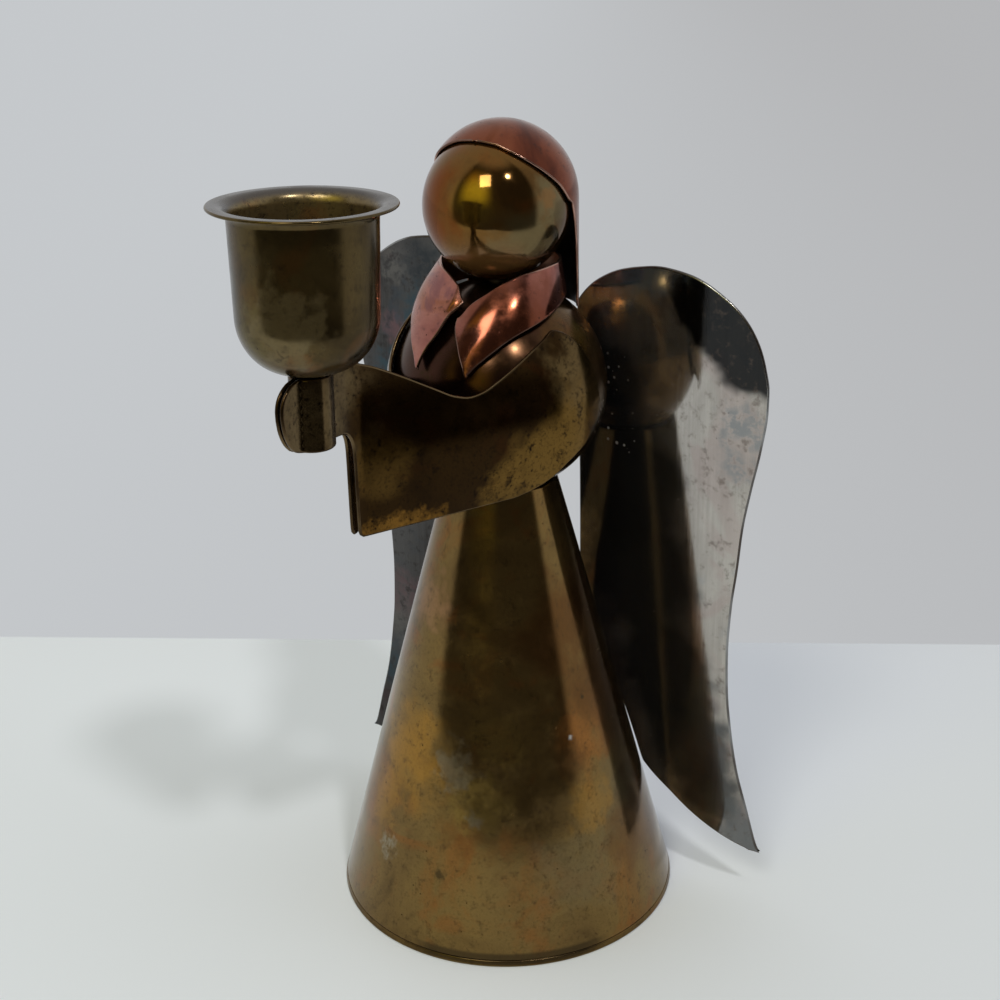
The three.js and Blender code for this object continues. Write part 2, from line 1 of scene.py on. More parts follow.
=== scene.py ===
# %% [markdown]
# # An angel of brass, copper and silver that holds a candle
# The figure is a cone, two balls and a few bent sheets of metal. Everything on it is a mirror, so most of
# this lesson is about two things: surfaces that are truly smooth, and a plain room for them to reflect.
# The construction already exists as a fixed frame of simple solids. This script loads that frame, makes a
# fine version of every piece that shows, and gives each one its finish.

# %% Load the frame
import math
from collections import namedtuple

import bpy
import numpy
from mathutils import Matrix, Quaternion, Vector
from mathutils.geometry import delaunay_2d_cdt


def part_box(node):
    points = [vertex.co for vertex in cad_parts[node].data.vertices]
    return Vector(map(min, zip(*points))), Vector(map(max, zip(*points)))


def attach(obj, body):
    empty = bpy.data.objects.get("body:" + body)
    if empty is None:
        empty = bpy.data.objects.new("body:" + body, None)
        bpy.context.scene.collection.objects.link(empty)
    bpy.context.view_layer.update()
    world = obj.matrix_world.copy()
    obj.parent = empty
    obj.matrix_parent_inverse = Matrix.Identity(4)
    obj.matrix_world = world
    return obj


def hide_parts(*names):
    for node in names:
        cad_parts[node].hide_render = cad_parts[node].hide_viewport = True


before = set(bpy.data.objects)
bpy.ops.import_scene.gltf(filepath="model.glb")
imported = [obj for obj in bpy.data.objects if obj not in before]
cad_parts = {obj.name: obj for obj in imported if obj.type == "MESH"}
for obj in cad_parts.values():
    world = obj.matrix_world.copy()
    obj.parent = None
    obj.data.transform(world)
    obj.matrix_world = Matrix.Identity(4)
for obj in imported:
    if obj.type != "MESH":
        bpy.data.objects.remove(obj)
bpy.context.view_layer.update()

scene = bpy.context.scene
scene.view_settings.view_transform = "Standard"
print("nodes in the frame:", len(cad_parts))

# %% [markdown]
# ## Sizes
# Blender counts in metres, but a maker thinks of such a figure in millimetres. All sizes below are
# millimetres, and one helper turns them into metres when a mesh is made. The figure faces -Y, its left
# hand is on +X, and it stands on the table at z = 0. The heights of the stacked pieces follow from the
# radii of the cone and the balls, in the same way as on the bench.

# %% Sizes of the stack
MM = 0.001
FIT = 0.3               # air between two pieces that touch
SKIRT_RADIUS = 34.0
SKIRT_RIM_RADIUS = 10.6
SKIRT_HEIGHT = 88.4
SKIRT_SHEET = 0.8
BASE_HEIGHT = 1.2
TORSO_RADIUS = 20.0
HEAD_RADIUS = 13.3

skirt_slope = (SKIRT_RADIUS - SKIRT_RIM_RADIUS) / SKIRT_HEIGHT
skirt_wall = SKIRT_SHEET * math.hypot(1, skirt_slope)
torso_z = SKIRT_HEIGHT + math.sqrt((TORSO_RADIUS + FIT) ** 2 - (SKIRT_RIM_RADIUS - skirt_wall) ** 2)
neck_z = torso_z + TORSO_RADIUS
head_z = neck_z + FIT + HEAD_RADIUS


def skirt_radius_at(z):
    return SKIRT_RADIUS - skirt_slope * z


def mix(a, b, share):
    return a + (b - a) * share


def limit(value, low=0.0, high=1.0):
    return max(low, min(high, value))


def ease(value, start, end):
    """0 before start, 1 after end, and smooth between them."""
    t = limit((value - start) / (end - start))
    return t * t * (3 - 2 * t)


print("torso centre at", round(torso_z, 2), "mm, head centre at", round(head_z, 2), "mm")

# %% [markdown]
# ## Camera
# The picture was taken from the figure's left front, a little above it and from quite near, so the
# skirt's foot looks wider than it is. A camera is easiest to read as a place, a direction and a roll:
# `to_track_quat` points the lens along the direction, and one more turn about the lens gives the roll.

# %% Camera
CAMERA_PLACE = Vector((158.7, -237.6, 200.4))
CAMERA_TURN = 33.81     # degrees round from the front, toward the figure's left
CAMERA_DIP = 22.36      # degrees below level
CAMERA_ROLL = -1.03
CAMERA_ANGLE = 34.44    # of view, across the square picture
CAMERA_NEAR = 10        # nothing nearer than this is drawn

turn = math.radians(CAMERA_TURN)
dip = math.radians(CAMERA_DIP)
look = Vector((-math.sin(turn) * math.cos(dip), math.cos(turn) * math.cos(dip), -math.sin(dip)))
camera = bpy.data.objects.new("camera", bpy.data.cameras.new("camera"))
camera.location = CAMERA_PLACE * MM
camera.rotation_mode = "QUATERNION"
roll = Quaternion((0, 0, 1), math.radians(CAMERA_ROLL))
camera.rotation_quaternion = look.to_track_quat("-Z", "Y") @ roll
camera.data.angle = math.radians(CAMERA_ANGLE)
camera.data.clip_start = CAMERA_NEAR * MM
scene.collection.objects.link(camera)
scene.camera = camera
print("lens in millimetres:", round(camera.data.lens, 1))

# %% [markdown]
# ## Building shaders
# Every finish below is a small tree of shader nodes. Clicking nodes together by hand is slow to repeat, so
# these helpers add one node each and hand back its output. `add` fills an input with a value, or links it
# if it is given the output of another node.

# %% Shader helpers
def add(tree, kind, inputs=None, **options):
    """Adds one shader node, sets its options, and fills or links its inputs."""
    node = tree.nodes.new("ShaderNode" + kind)
    for key, value in options.items():
        setattr(node, key, value)
    for key, value in (inputs or {}).items():
        put(tree, node.inputs[key], value)
    return node


def put(tree, socket, value):
    if isinstance(value, bpy.types.NodeSocket):
        tree.links.new(value, socket)
    elif socket.type == "RGBA" and len(value) == 3:
        socket.default_value = (*value, 1.0)
    else:
        socket.default_value = value


def maths(tree, operation, a, b=0.0, c=0.0):
    return add(tree, "Math", {0: a, 1: b, 2: c}, operation=operation).outputs[0]


def band(tree, value, start, end, low=0.0, high=1.0):
    """low where value is below start, high where it is above end, and smooth between."""
    inputs = {"Value": value, "From Min": start, "From Max": end, "To Min": low, "To Max": high}
    return add(tree, "MapRange", inputs, interpolation_type="SMOOTHSTEP").outputs[0]


def layer(tree, factor, under, over, mode="MIX"):
    """The colour over laid on the colour under, as strongly as factor says."""
    return add(tree, "Mix", {0: factor, 6: under, 7: over}, data_type="RGBA", blend_type=mode).outputs[2]


def ramp(tree, factor, stops):
    """A colour for each value of factor, from stops of (value, colour)."""
    node = add(tree, "ValToRGB", {"Fac": factor})
    elements = node.color_ramp.elements
    while len(elements) < len(stops):
        elements.new(1.0)
    for element, (place, colour) in zip(elements, stops):
        element.position = place
        element.color = (*colour, 1.0)
    return node.outputs["Color"]


print("shader helpers ready")

# %% [markdown]
# ## Floor
# The figure stands on a pale table that ends a hand's length in front of it, and the metal shows that
# end: the reflected table stops and the dark room begins. So the floor is one flat face cut along the
# table's front edges, and runs on far behind. A thick board would look the same from above.

# %% Floor
TABLE_EDGE = [(-760, -620), (149, -249), (640, 585)]    # front edge from left to right, in plan
FLOOR_FAR = 3000


def flat_piece(name, outline):
    """One flat face on the table, from corners in millimetres."""
    mesh = bpy.data.meshes.new(name)
    mesh.from_pydata([(x * MM, y * MM, 0) for x, y in outline], [], [range(len(outline))])
    piece = bpy.data.objects.new(name, mesh)
    scene.collection.objects.link(piece)
    return piece


floor_back = [(FLOOR_FAR, FLOOR_FAR), (-FLOOR_FAR, FLOOR_FAR), (-FLOOR_FAR, TABLE_EDGE[0][1])]
floor = flat_piece("floor", TABLE_EDGE + floor_back)
print("floor laid, front corner at", TABLE_EDGE[1])

# %% [markdown]
# ## Floor finish
# The table is nearly white, and a painted shade makes it a little darker on the right. A pale wall meets it
# just behind the figure. A real wall would hide the figure from behind, so the floor takes the wall's colour
# past that line instead. That part glows evenly, because the wall in the picture catches no shadow, and a
# painted shade makes it darker toward the right.

# %% Floor finish
WALL_POINT = (-59.4, 82.9)      # a point on the line where wall and table meet, in plan
WALL_TURN = 30.6                # degrees that this line is turned from X
WALL_SOFT = 0.6                 # half the width of the line itself
TABLE_WHITE = (0.80, 0.845, 0.90)
# painted shade: the table a little darker toward the right
TABLE_SHADED_RIGHT = (0.735, 0.770, 0.83)
TABLE_SHADE_FADE = (-50, 150)         # where, along the wall, the table goes from one to the other
TABLE_ROUGHNESS = 0.45
TABLE_SPECULAR = 0.12
WALL_LEFT = (0.56, 0.58, 0.60)
# painted shade: the wall darker toward the right
WALL_SHADED_RIGHT = (0.46, 0.465, 0.475)
WALL_SHADE_FADE = (-250, 350)


def floor_finish():
    material = bpy.data.materials.new("pale table")
    material.use_nodes = True
    tree = material.node_tree
    table = tree.nodes["Principled BSDF"]
    table.inputs["Roughness"].default_value = TABLE_ROUGHNESS
    table.inputs["Specular IOR Level"].default_value = TABLE_SPECULAR
    spot = add(tree, "TexCoord").outputs["Object"]
    across = (-math.sin(math.radians(WALL_TURN)), math.cos(math.radians(WALL_TURN)), 0)
    along = (across[1], -across[0], 0)
    beyond = add(tree, "VectorMath", {0: spot, 1: across}, operation="DOT_PRODUCT").outputs["Value"]
    aside = add(tree, "VectorMath", {0: spot, 1: along}, operation="DOT_PRODUCT").outputs["Value"]
    line = across[0] * WALL_POINT[0] + across[1] * WALL_POINT[1]
    behind = band(tree, beyond, (line - WALL_SOFT) * MM, (line + WALL_SOFT) * MM)
    # painted shade: table and wall fade darker toward the right
    table_shade = band(tree, aside, TABLE_SHADE_FADE[0] * MM, TABLE_SHADE_FADE[1] * MM)
    put(tree, table.inputs["Base Color"], layer(tree, table_shade, TABLE_WHITE, TABLE_SHADED_RIGHT))
    wall_shade = band(tree, aside, WALL_SHADE_FADE[0] * MM, WALL_SHADE_FADE[1] * MM)
    wall_colour = layer(tree, wall_shade, WALL_LEFT, WALL_SHADED_RIGHT)
    wall = add(tree, "Emission", {"Color": wall_colour, "Strength": 1.0})
    both = add(tree, "MixShader", {0: behind, 1: table.outputs[0], 2: wall.outputs[0]})
    tree.links.new(both.outputs[0], tree.nodes["Material Output"].inputs["Surface"])
    return material


floor.data.materials.append(floor_finish())
print("table and wall meet through", WALL_POINT)

# %% [markdown]
# ## Room
# Polished metal has hardly a colour of its own: it shows the room. This room is white all round, apart
# from one dark opening in front of the table with a dim warm glow in it. The world's texture coordinate
# is the direction of a ray, and two angles are worked out from it: the turn round from the front and the
# height above the horizon. The opening and the glow are windows in those two angles with soft sides. A
# picture of a real room could be used instead, but two angles are easier to move until the metal is right.

# %% Room
ROOM_WHITE = (0.64, 0.65, 0.66)
ROOM_DARK = (0.055, 0.052, 0.048)
OPENING_SIDES = (-38, 98)       # degrees round from the front
OPENING_SOFT = 5
OPENING_TOP = (58, 78)          # degrees up, where it fades out
GLOW_TURN = (-24, 18)           # a dim warm glow round the lit window
GLOW_RISE = (14, 52)
GLOW_SOFT = 12
GLOW_COLOUR = (1.05, 0.97, 0.15)


def soft_window(tree, angle, low, high, soft):
    rise = band(tree, angle, math.radians(low - soft), math.radians(low + soft))
    fall = band(tree, angle, math.radians(high - soft), math.radians(high + soft), 1.0, 0.0)
    return maths(tree, "MULTIPLY", rise, fall)


def room():
    world = bpy.data.worlds.new("room")
    world.use_nodes = True
    tree = world.node_tree
    tree.nodes.clear()
    ray = add(tree, "SeparateXYZ", {0: add(tree, "TexCoord").outputs["Generated"]})
    forward = maths(tree, "MULTIPLY", ray.outputs[1], -1.0)
    turn = maths(tree, "ARCTAN2", ray.outputs[0], forward)
    rise = maths(tree, "ARCSINE", ray.outputs[2])
    top = band(tree, rise, math.radians(OPENING_TOP[0]), math.radians(OPENING_TOP[1]), 1.0, 0.0)
    opening = maths(tree, "MULTIPLY", soft_window(tree, turn, *OPENING_SIDES, OPENING_SOFT), top)
    aside = soft_window(tree, turn, *GLOW_TURN, GLOW_SOFT)
    glow = maths(tree, "MULTIPLY", aside, soft_window(tree, rise, *GLOW_RISE, GLOW_SOFT))
    dark = layer(tree, glow, ROOM_DARK, GLOW_COLOUR)
    seen_in_metal = layer(tree, opening, ROOM_WHITE, dark)
    camera_ray = add(tree, "LightPath").outputs["Is Camera Ray"]
    colour = layer(tree, camera_ray, seen_in_metal, WALL_LEFT)
    light = add(tree, "Background", {"Color": colour, "Strength": 1.0})
    add(tree, "OutputWorld", {"Surface": light.outputs[0]})
    return world


scene.world = room()
print("room is white, with a dark opening between", OPENING_SIDES, "degrees")

# %% [markdown]
# ## Lamps
# A window high in front gives the broad glint on the head, and a small round lamp on the figure's left
# gives the second glint and the soft shadow on the table. Area lamps are used because metal shows their
# shape. Each is placed by its direction from the head.

# %% Lamps
LAMP_DISTANCE = 1400
WINDOW = {"turn": 11, "rise": 46, "tilt": 12, "size": (380, 430), "watts": 4.8, "colour": (1.0, 0.98, 0.94)}
LAMP = {"turn": 60, "rise": 52, "tilt": 0, "size": (130, 130), "watts": 5.0, "colour": (1.0, 0.98, 0.95)}


def lamp(name, shape, turn, rise, tilt, size, watts, colour):
    light = bpy.data.lights.new(name, "AREA")
    light.shape = shape
    light.size, light.size_y = [side * MM for side in size]
    light.energy = watts
    light.color = colour
    turn, rise = math.radians(turn), math.radians(rise)
    way = Vector((math.sin(turn) * math.cos(rise), -math.cos(turn) * math.cos(rise), math.sin(rise)))
    holder = bpy.data.objects.new(name, light)
    holder.location = (Vector((0, 0, head_z)) + way * LAMP_DISTANCE) * MM
    holder.rotation_mode = "QUATERNION"
    tilted = Quaternion((0, 0, 1), math.radians(tilt))
    holder.rotation_quaternion = (-way).to_track_quat("-Z", "Y") @ tilted
    scene.collection.objects.link(holder)


lamp("window", "RECTANGLE", **WINDOW)
lamp("round lamp", "DISK", **LAMP)
print("two lamps at", LAMP_DISTANCE, "mm")

# %% [markdown]
# ## Tarnish
# The metal was polished once and has aged since. Old brass turns olive and brown in clouds, with thin
# orange films, dark specks and dull smudges. All of these are patterns in space, so they are made from
# noise that is read in millimetres at the surface: a size given here is a size on the object. No unwrapping
# is needed, and the two sides of a sheet differ a little, as they should.

# %% Noise helpers
def millimetres(tree, offset=0.0):
    """The place on the piece in millimetres, moved by offset so that two pieces don't look alike."""
    place = add(tree, "TexCoord").outputs["Object"]
    scaled = add(tree, "VectorMath", {0: place, "Scale": 1 / MM}, operation="SCALE").outputs[0]
    if not offset:
        return scaled
    return add(tree, "VectorMath", {0: scaled, 1: (offset, offset, offset)}, operation="ADD").outputs[0]


def clouds(tree, place, size, detail=4.0, rough=0.55, twist=0.0):
    """Soft noise whose blotches are about size millimetres across; it stays near 0.5."""
    inputs = {"Vector": place, "Scale": 1 / size, "Detail": detail, "Roughness": rough, "Distortion": twist}
    return add(tree, "TexNoise", inputs).outputs[0]


def stretched(tree, place, x, y, z):
    """The place with each direction made longer, so that noise on it turns into streaks."""
    factors = (1 / x, 1 / y, 1 / z)
    return add(tree, "VectorMath", {0: place, 1: factors}, operation="MULTIPLY").outputs[0]


SMALLEST_SPECK = 0.35   # as a share of the largest
SPECK_CORE = 0.4        # the part of a speck that is fully dark


def specks(tree, place, spacing, radius, share):
    """Specks of up to radius on a share of the cells of a loose grid; 1 inside a speck."""
    cells = add(tree, "TexVoronoi", {"Vector": place, "Scale": 1 / spacing})
    chance = add(tree, "SeparateColor", {0: cells.outputs["Color"]})
    here = maths(tree, "LESS_THAN", chance.outputs[0], share)
    size = band(tree, chance.outputs[1], 0.0, 1.0, low=SMALLEST_SPECK)
    away = maths(tree, "DIVIDE", cells.outputs["Distance"], size)
    reach = radius / spacing
    dot = band(tree, away, SPECK_CORE * reach, reach, 1.0, 0.0)
    return maths(tree, "MULTIPLY", dot, here)


print("noise helpers ready")

# %% [markdown]
# ## Marks and films
# Some stains are not left to chance: the amber cloud on the skirt belongs to this figure. Other marks are
# painted light or shade, such as the black corner of the wing, which is a painted dark reflection. Such a
# mark is a ball in space. Inside its radius the colour changes, and noise moves the outline so that it is
# never a circle. Painting an image would do as well, but a mark in millimetres can be read and moved in the
# script. A film of old lacquer or wax is a mark that also takes some of the mirror away, and so is a painted
# reflection such as the one under the head's chin.

# %% Marks and films
PATCH_BUMPS = 2.2       # bumps of the outline along one radius
PATCH_SWAY = 4          # how far a fully ragged outline moves, in radii


def patch(tree, place, centre, radius, soft, ragged):
    """1 at a centre on the surface and 0 beyond radius, with a soft and ragged outline."""
    noise = add(tree, "TexNoise", {"Vector": place, "Scale": PATCH_BUMPS / radius, "Detail": 3.0})
    sway = add(tree, "VectorMath", {0: noise.outputs["Color"], 1: (0.5, 0.5, 0.5)}, operation="SUBTRACT")
    reach = PATCH_SWAY * ragged * radius
    push = add(tree, "VectorMath", {0: sway.outputs[0], "Scale": reach}, operation="SCALE")
    moved = add(tree, "VectorMath", {0: place, 1: push.outputs[0]}, operation="ADD")
    away = add(tree, "VectorMath", {0: moved.outputs[0], 1: centre}, operation="DISTANCE")
    return band(tree, away.outputs["Value"], (1 - soft) * radius, radius, 1.0, 0.0)


Mark = namedtuple("Mark", "centre radius tint strength broken soft ragged", defaults=(0.8, 0.0, 0.65, 0.35))


def marked(tree, place, colour, marks, fine):
    """The colour with marks laid on it; the fine noise eats into a broken mark."""
    for mark in marks:
        spread = patch(tree, place, mark.centre, mark.radius, mark.soft, mark.ragged)
        there = maths(tree, "MULTIPLY", spread, mark.strength)
        if mark.broken:
            eaten = band(tree, fine, 0.44, 0.56, 1.0, 1.0 - mark.broken)
            there = maths(tree, "MULTIPLY", there, eaten)
        colour = layer(tree, there, colour, mark.tint)
    return colour


Film = namedtuple("Film", "mark share")    # under old film only a share of the surface acts as metal


def under_film(tree, shader, place, colour, film, share):
    """The colour with one patch of film on it, either old film or a painted reflection, which takes away
    some of the metal's mirror.
    """
    mark = film.mark
    spread = patch(tree, place, mark.centre, mark.radius, mark.soft, mark.ragged)
    put(tree, shader.inputs["Metallic"], band(tree, spread, 0.0, 1.0, share, film.share))
    return layer(tree, maths(tree, "MULTIPLY", spread, mark.strength), colour, mark.tint)


print("a mark has the values", ", ".join(Mark._fields))

# %% [markdown]
# ## Bare metal
# All finishes start from the same shader: nearly all metal, with its colour in the reflection. A Glossy
# shader alone would look new. Tarnish scatters a little light like paint, and the Principled shader allows
# for that with a share of metal just below one. A low relief does more for the look of metal than any
# colour, because it bends what is mirrored.

# %% Bare metal
def shaded(colour, tone):
    """A colour with each of its parts weakened by tone."""
    return tuple(part * share for part, share in zip(colour, tone))


TARNISHED_METAL = 0.94  # share of metal under ordinary tarnish


def metal(name, share=TARNISHED_METAL):
    """A new material with a metallic shader, its node tree and the shader."""
    material = bpy.data.materials.new(name)
    material.use_nodes = True
    tree = material.node_tree
    shader = tree.nodes["Principled BSDF"]
    shader.inputs["Metallic"].default_value = share
    return material, tree, shader


def relief(tree, shader, height, depth):
    """Bumps the surface by height, which runs from 0 to 1, over depth millimetres."""
    bump = add(tree, "Bump", {"Height": height, "Distance": depth * MM, "Strength": 1.0})
    tree.links.new(bump.outputs["Normal"], shader.inputs["Normal"])


print("bare metal is", TARNISHED_METAL, "metal")

# %% [markdown]
# ## Brass
# Skirt, balls, arms and cup are one sort of brass, but each aged in its own way: the sleeves are nearly
# brown, the skirt is still golden. One function makes the finish and takes what differs: an offset in the
# noise, a tone that weakens red, green and blue, and a list of marks. The clouds of tarnish are colour only,
# specks and smudges also dull the shine, and a very low relief makes the reflections waver as they do on
# metal that was polished by hand.

# %% Brass finish
BRASS_CLOUDS = [
    (0.32, (0.130, 0.086, 0.030)),
    (0.44, (0.215, 0.145, 0.048)),
    (0.54, (0.255, 0.175, 0.056)),
    (0.66, (0.280, 0.150, 0.042)),
]
BRASS_FILM = (0.300, 0.135, 0.035)
BRASS_STAIN = (0.080, 0.052, 0.022)
PLAIN_TONE = (1.0, 1.0, 1.0)


def brass_finish(name, offset=0.0, tone=PLAIN_TONE, marks=(), shine=0.11, share=TARNISHED_METAL,
                 stains=1.0, film_patch=None):
    material, tree, shader = metal(name, share)
    place = millimetres(tree, offset)
    broad = clouds(tree, place, size=24, detail=6, rough=0.62, twist=0.8)
    fine = clouds(tree, place, size=2.4, detail=8, rough=0.65)
    grain = clouds(tree, place, size=0.6, detail=3, rough=0.7)
    colour = ramp(tree, broad, [(value, shaded(tint, tone)) for value, tint in BRASS_CLOUDS])
    film = band(tree, clouds(tree, place, size=15, detail=4, twist=1.5), 0.54, 0.68, high=0.6)
    colour = layer(tree, film, colour, shaded(BRASS_FILM, tone))
    colour = marked(tree, millimetres(tree), colour, marks, fine)
    if film_patch:
        colour = under_film(tree, shader, millimetres(tree), colour, film_patch, share)
    pores = band(tree, grain, 0.50, 0.70, high=0.5 * stains)
    stain = maths(tree, "ADD", band(tree, fine, 0.52, 0.70, high=0.65 * stains), pores)
    colour = layer(tree, stain, colour, shaded(BRASS_STAIN, tone))
    dots = specks(tree, place, spacing=1.9, radius=0.30, share=0.30 * stains)
    colour = layer(tree, maths(tree, "MULTIPLY", dots, 0.7), colour, shaded(BRASS_STAIN, tone))
    put(tree, shader.inputs["Base Color"], colour)
    smudge = band(tree, clouds(tree, place, size=9, detail=6, rough=0.7), 0.42, 0.70, high=0.13)
    dull = maths(tree, "MULTIPLY_ADD", dots, 0.25, smudge)
    put(tree, shader.inputs["Roughness"], maths(tree, "ADD", dull, shine))
    relief(tree, shader, layer(tree, 0.06, clouds(tree, place, size=11, detail=1), fine), depth=0.05)
    return material


print("brass shows", len(BRASS_CLOUDS), "tones before its film and stains")

# %% [markdown]
# ## Copper
# Hood and scarf are copper that has gone from salmon to rose and brown, with violet where the film is
# thickest. Copper films are more lively than brass, so two noises of different size choose the tint.

# %% Copper finish
COPPER_CLOUDS = [
    (0.30, (0.170, 0.066, 0.060)),
    (0.45, (0.330, 0.125, 0.098)),
    (0.58, (0.400, 0.165, 0.125)),
    (0.72, (0.300, 0.105, 0.050)),
]
COPPER_VIOLET = (0.180, 0.075, 0.085)
COPPER_STAIN = (0.060, 0.026, 0.020)


def copper_finish(name, offset=0.0, tone=PLAIN_TONE, marks=(), shine=0.13):
    material, tree, shader = metal(name)
    place = millimetres(tree, offset)
    broad = clouds(tree, place, size=14, detail=5, rough=0.6, twist=0.9)
    fine = clouds(tree, place, size=1.5, detail=8, rough=0.65)
    colour = ramp(tree, broad, [(value, shaded(tint, tone)) for value, tint in COPPER_CLOUDS])
    film = band(tree, clouds(tree, place, size=8, detail=4, twist=1.2), 0.55, 0.70, high=0.6)
    colour = layer(tree, film, colour, shaded(COPPER_VIOLET, tone))
    colour = marked(tree, millimetres(tree), colour, marks, fine)
    stain = band(tree, fine, 0.55, 0.72, high=0.6)
    colour = layer(tree, stain, colour, COPPER_STAIN)
    dots = specks(tree, place, spacing=1.3, radius=0.26, share=0.30)
    colour = layer(tree, maths(tree, "MULTIPLY", dots, 0.75), colour, COPPER_STAIN)
    put(tree, shader.inputs["Base Color"], colour)
    smudge = band(tree, clouds(tree, place, size=5, detail=6, rough=0.7), 0.40, 0.68, high=0.16)
    dull = maths(tree, "MULTIPLY_ADD", dots, 0.25, smudge)
    put(tree, shader.inputs["Roughness"], maths(tree, "ADD", dull, shine))
    relief(tree, shader, layer(tree, 0.08, clouds(tree, place, size=7, detail=1), fine), depth=0.05)
    return material


print("copper shows", len(COPPER_CLOUDS), "tones")

# %% [markdown]
# ## Silver plate
# The wings are silver coloured, brushed from top to bottom and clouded with dark tarnish. Streaks are noise
# on a place that is stretched along the wing. The same streaks drive colour, shine and relief, so that a
# dark streak is also a dull one.

# %% Silver finish
SILVER_CLOUDS = [
    (0.28, (0.230, 0.205, 0.190)),
    (0.42, (0.430, 0.405, 0.385)),
    (0.56, (0.560, 0.535, 0.510)),
    (0.70, (0.640, 0.620, 0.600)),
]
SILVER_TARNISH = (0.130, 0.100, 0.085)
SILVER_BLUE = (0.300, 0.370, 0.440)
SILVER_ROSE = (0.420, 0.300, 0.300)


def silver_finish(name, offset=0.0, tone=PLAIN_TONE, marks=(), film_strength=0.3, shine=0.05, dotted=(),
                  film_patch=None):
    material, tree, shader = metal(name)
    place = millimetres(tree, offset)
    streaks = clouds(tree, stretched(tree, place, x=0.7, y=3, z=45), size=1, detail=6, rough=0.7)
    broad = clouds(tree, stretched(tree, place, x=12, y=12, z=34), size=1, detail=6, rough=0.6, twist=0.6)
    fine = clouds(tree, place, size=2.0, detail=8, rough=0.68)
    blend = layer(tree, 0.35, broad, streaks)
    colour = ramp(tree, blend, [(value, shaded(tint, tone)) for value, tint in SILVER_CLOUDS])
    film = clouds(tree, place, size=20, detail=3, twist=1.5)
    blue = band(tree, film, 0.53, 0.66, high=film_strength)
    rose = band(tree, film, 0.47, 0.35, high=film_strength)
    colour = layer(tree, blue, colour, shaded(SILVER_BLUE, tone))
    colour = layer(tree, rose, colour, shaded(SILVER_ROSE, tone))
    colour = marked(tree, millimetres(tree), colour, marks, fine)
    if film_patch:
        colour = under_film(tree, shader, millimetres(tree), colour, film_patch, TARNISHED_METAL)
    stain = band(tree, fine, 0.52, 0.70, high=0.6)
    colour = layer(tree, stain, colour, shaded(SILVER_TARNISH, tone))
    dots = specks(tree, place, spacing=2.6, radius=0.34, share=0.25)
    colour = layer(tree, maths(tree, "MULTIPLY", dots, 0.5), colour, shaded(SILVER_TARNISH, tone))
    for mark in dotted:
        spread = patch(tree, millimetres(tree), mark.centre, mark.radius, mark.soft, mark.ragged)
        bare = maths(tree, "MULTIPLY", specks(tree, place, spacing=1.2, radius=0.55, share=0.6), spread)
        colour = layer(tree, maths(tree, "MULTIPLY", bare, mark.strength), colour, mark.tint)
        dots = maths(tree, "MULTIPLY_ADD", bare, 2.5, dots)
    put(tree, shader.inputs["Base Color"], colour)
    smudge = band(tree, streaks, 0.35, 0.70, high=0.07)
    dull = maths(tree, "MULTIPLY_ADD", dots, 0.2, smudge)
    put(tree, shader.inputs["Roughness"], maths(tree, "ADD", dull, shine))
    relief(tree, shader, layer(tree, 0.10, clouds(tree, place, size=13, detail=1), streaks), depth=0.03)
    return material


print("silver shows", len(SILVER_CLOUDS), "tones")

# %% [markdown]
# ## Cut edges
# A cut edge rubs against hands and cloths, so it stays brighter than the faces beside it. It is a thin line
# only, but it is what shows that the figure is made of sheet. The inside of the hood is painted nearly black
# as shade, and the inside of the scarf has kept the colour of new copper.

# %% Edge and lining finishes
BRASS_EDGE = (0.140, 0.095, 0.046)
COPPER_EDGE = (0.480, 0.290, 0.230)
SILVER_EDGE = (0.300, 0.300, 0.300)
DULL_EDGE = (0.30, 0.25, 0.22)
EDGE_WEAR = 16          # length of a bright or dull stretch
# painted shade: the inside of the hood nearly black
SHADED_COPPER_LINING = ((0.018, 0.011, 0.009), (0.040, 0.024, 0.019))
NEW_COPPER = ((0.55, 0.28, 0.16), (0.75, 0.42, 0.28))


def edge_finish(name, tint):
    material, tree, shader = metal(name)
    worn = clouds(tree, millimetres(tree), size=EDGE_WEAR, detail=3)
    bright = band(tree, worn, 0.38, 0.62)
    put(tree, shader.inputs["Base Color"], layer(tree, bright, shaded(tint, DULL_EDGE), tint))
    put(tree, shader.inputs["Roughness"], band(tree, worn, 0.38, 0.62, 0.30, 0.13))
    return material


def lining_finish(name, dark, light):
    material, tree, shader = metal(name)
    blotches = clouds(tree, millimetres(tree), size=3, detail=6, rough=0.6)
    put(tree, shader.inputs["Base Color"], layer(tree, blotches, dark, light))
    put(tree, shader.inputs["Roughness"], band(tree, blotches, 0.35, 0.65, 0.35, 0.55))
    return material


brass_edge = edge_finish("brass cut edge", BRASS_EDGE)
copper_edge = edge_finish("copper cut edge", COPPER_EDGE)
silver_edge = edge_finish("silver cut edge", SILVER_EDGE)
hood_shade_lining = lining_finish("hood lining in painted shade", *SHADED_COPPER_LINING)
scarf_lining = lining_finish("scarf lining", *NEW_COPPER)
print("three cut edges and two linings")

# %% [markdown]
# ## Turned pieces
# Skirt, base, balls, cup and stem were turned or spun on a lathe. Blender has a Screw modifier for that,
# but a mirror needs exact shading, and a short loop gives it: every point of the outline becomes a ring, and
# the ring's normals come from the outline itself. Each edge is broken with a small round, because no edge on
# real metal is quite sharp and the bright line along it tells the eye how thick the sheet is.

# %% Lathe
def piece_from(name, points, faces, normals):
    """A mesh object from points in millimetres, shaded with the exact normals of its surface."""
    mesh = bpy.data.meshes.new(name)
    mesh.from_pydata([point * MM for point in points], [], faces)
    mesh.polygons.foreach_set("use_smooth", [True] * len(faces))
    mesh.normals_split_custom_set_from_vertices([normal.normalized() for normal in normals])
    piece = bpy.data.objects.new(name, mesh)
    scene.collection.objects.link(piece)
    return piece


ROUND_SHARE = 0.45      # a round takes at most this much of a short side


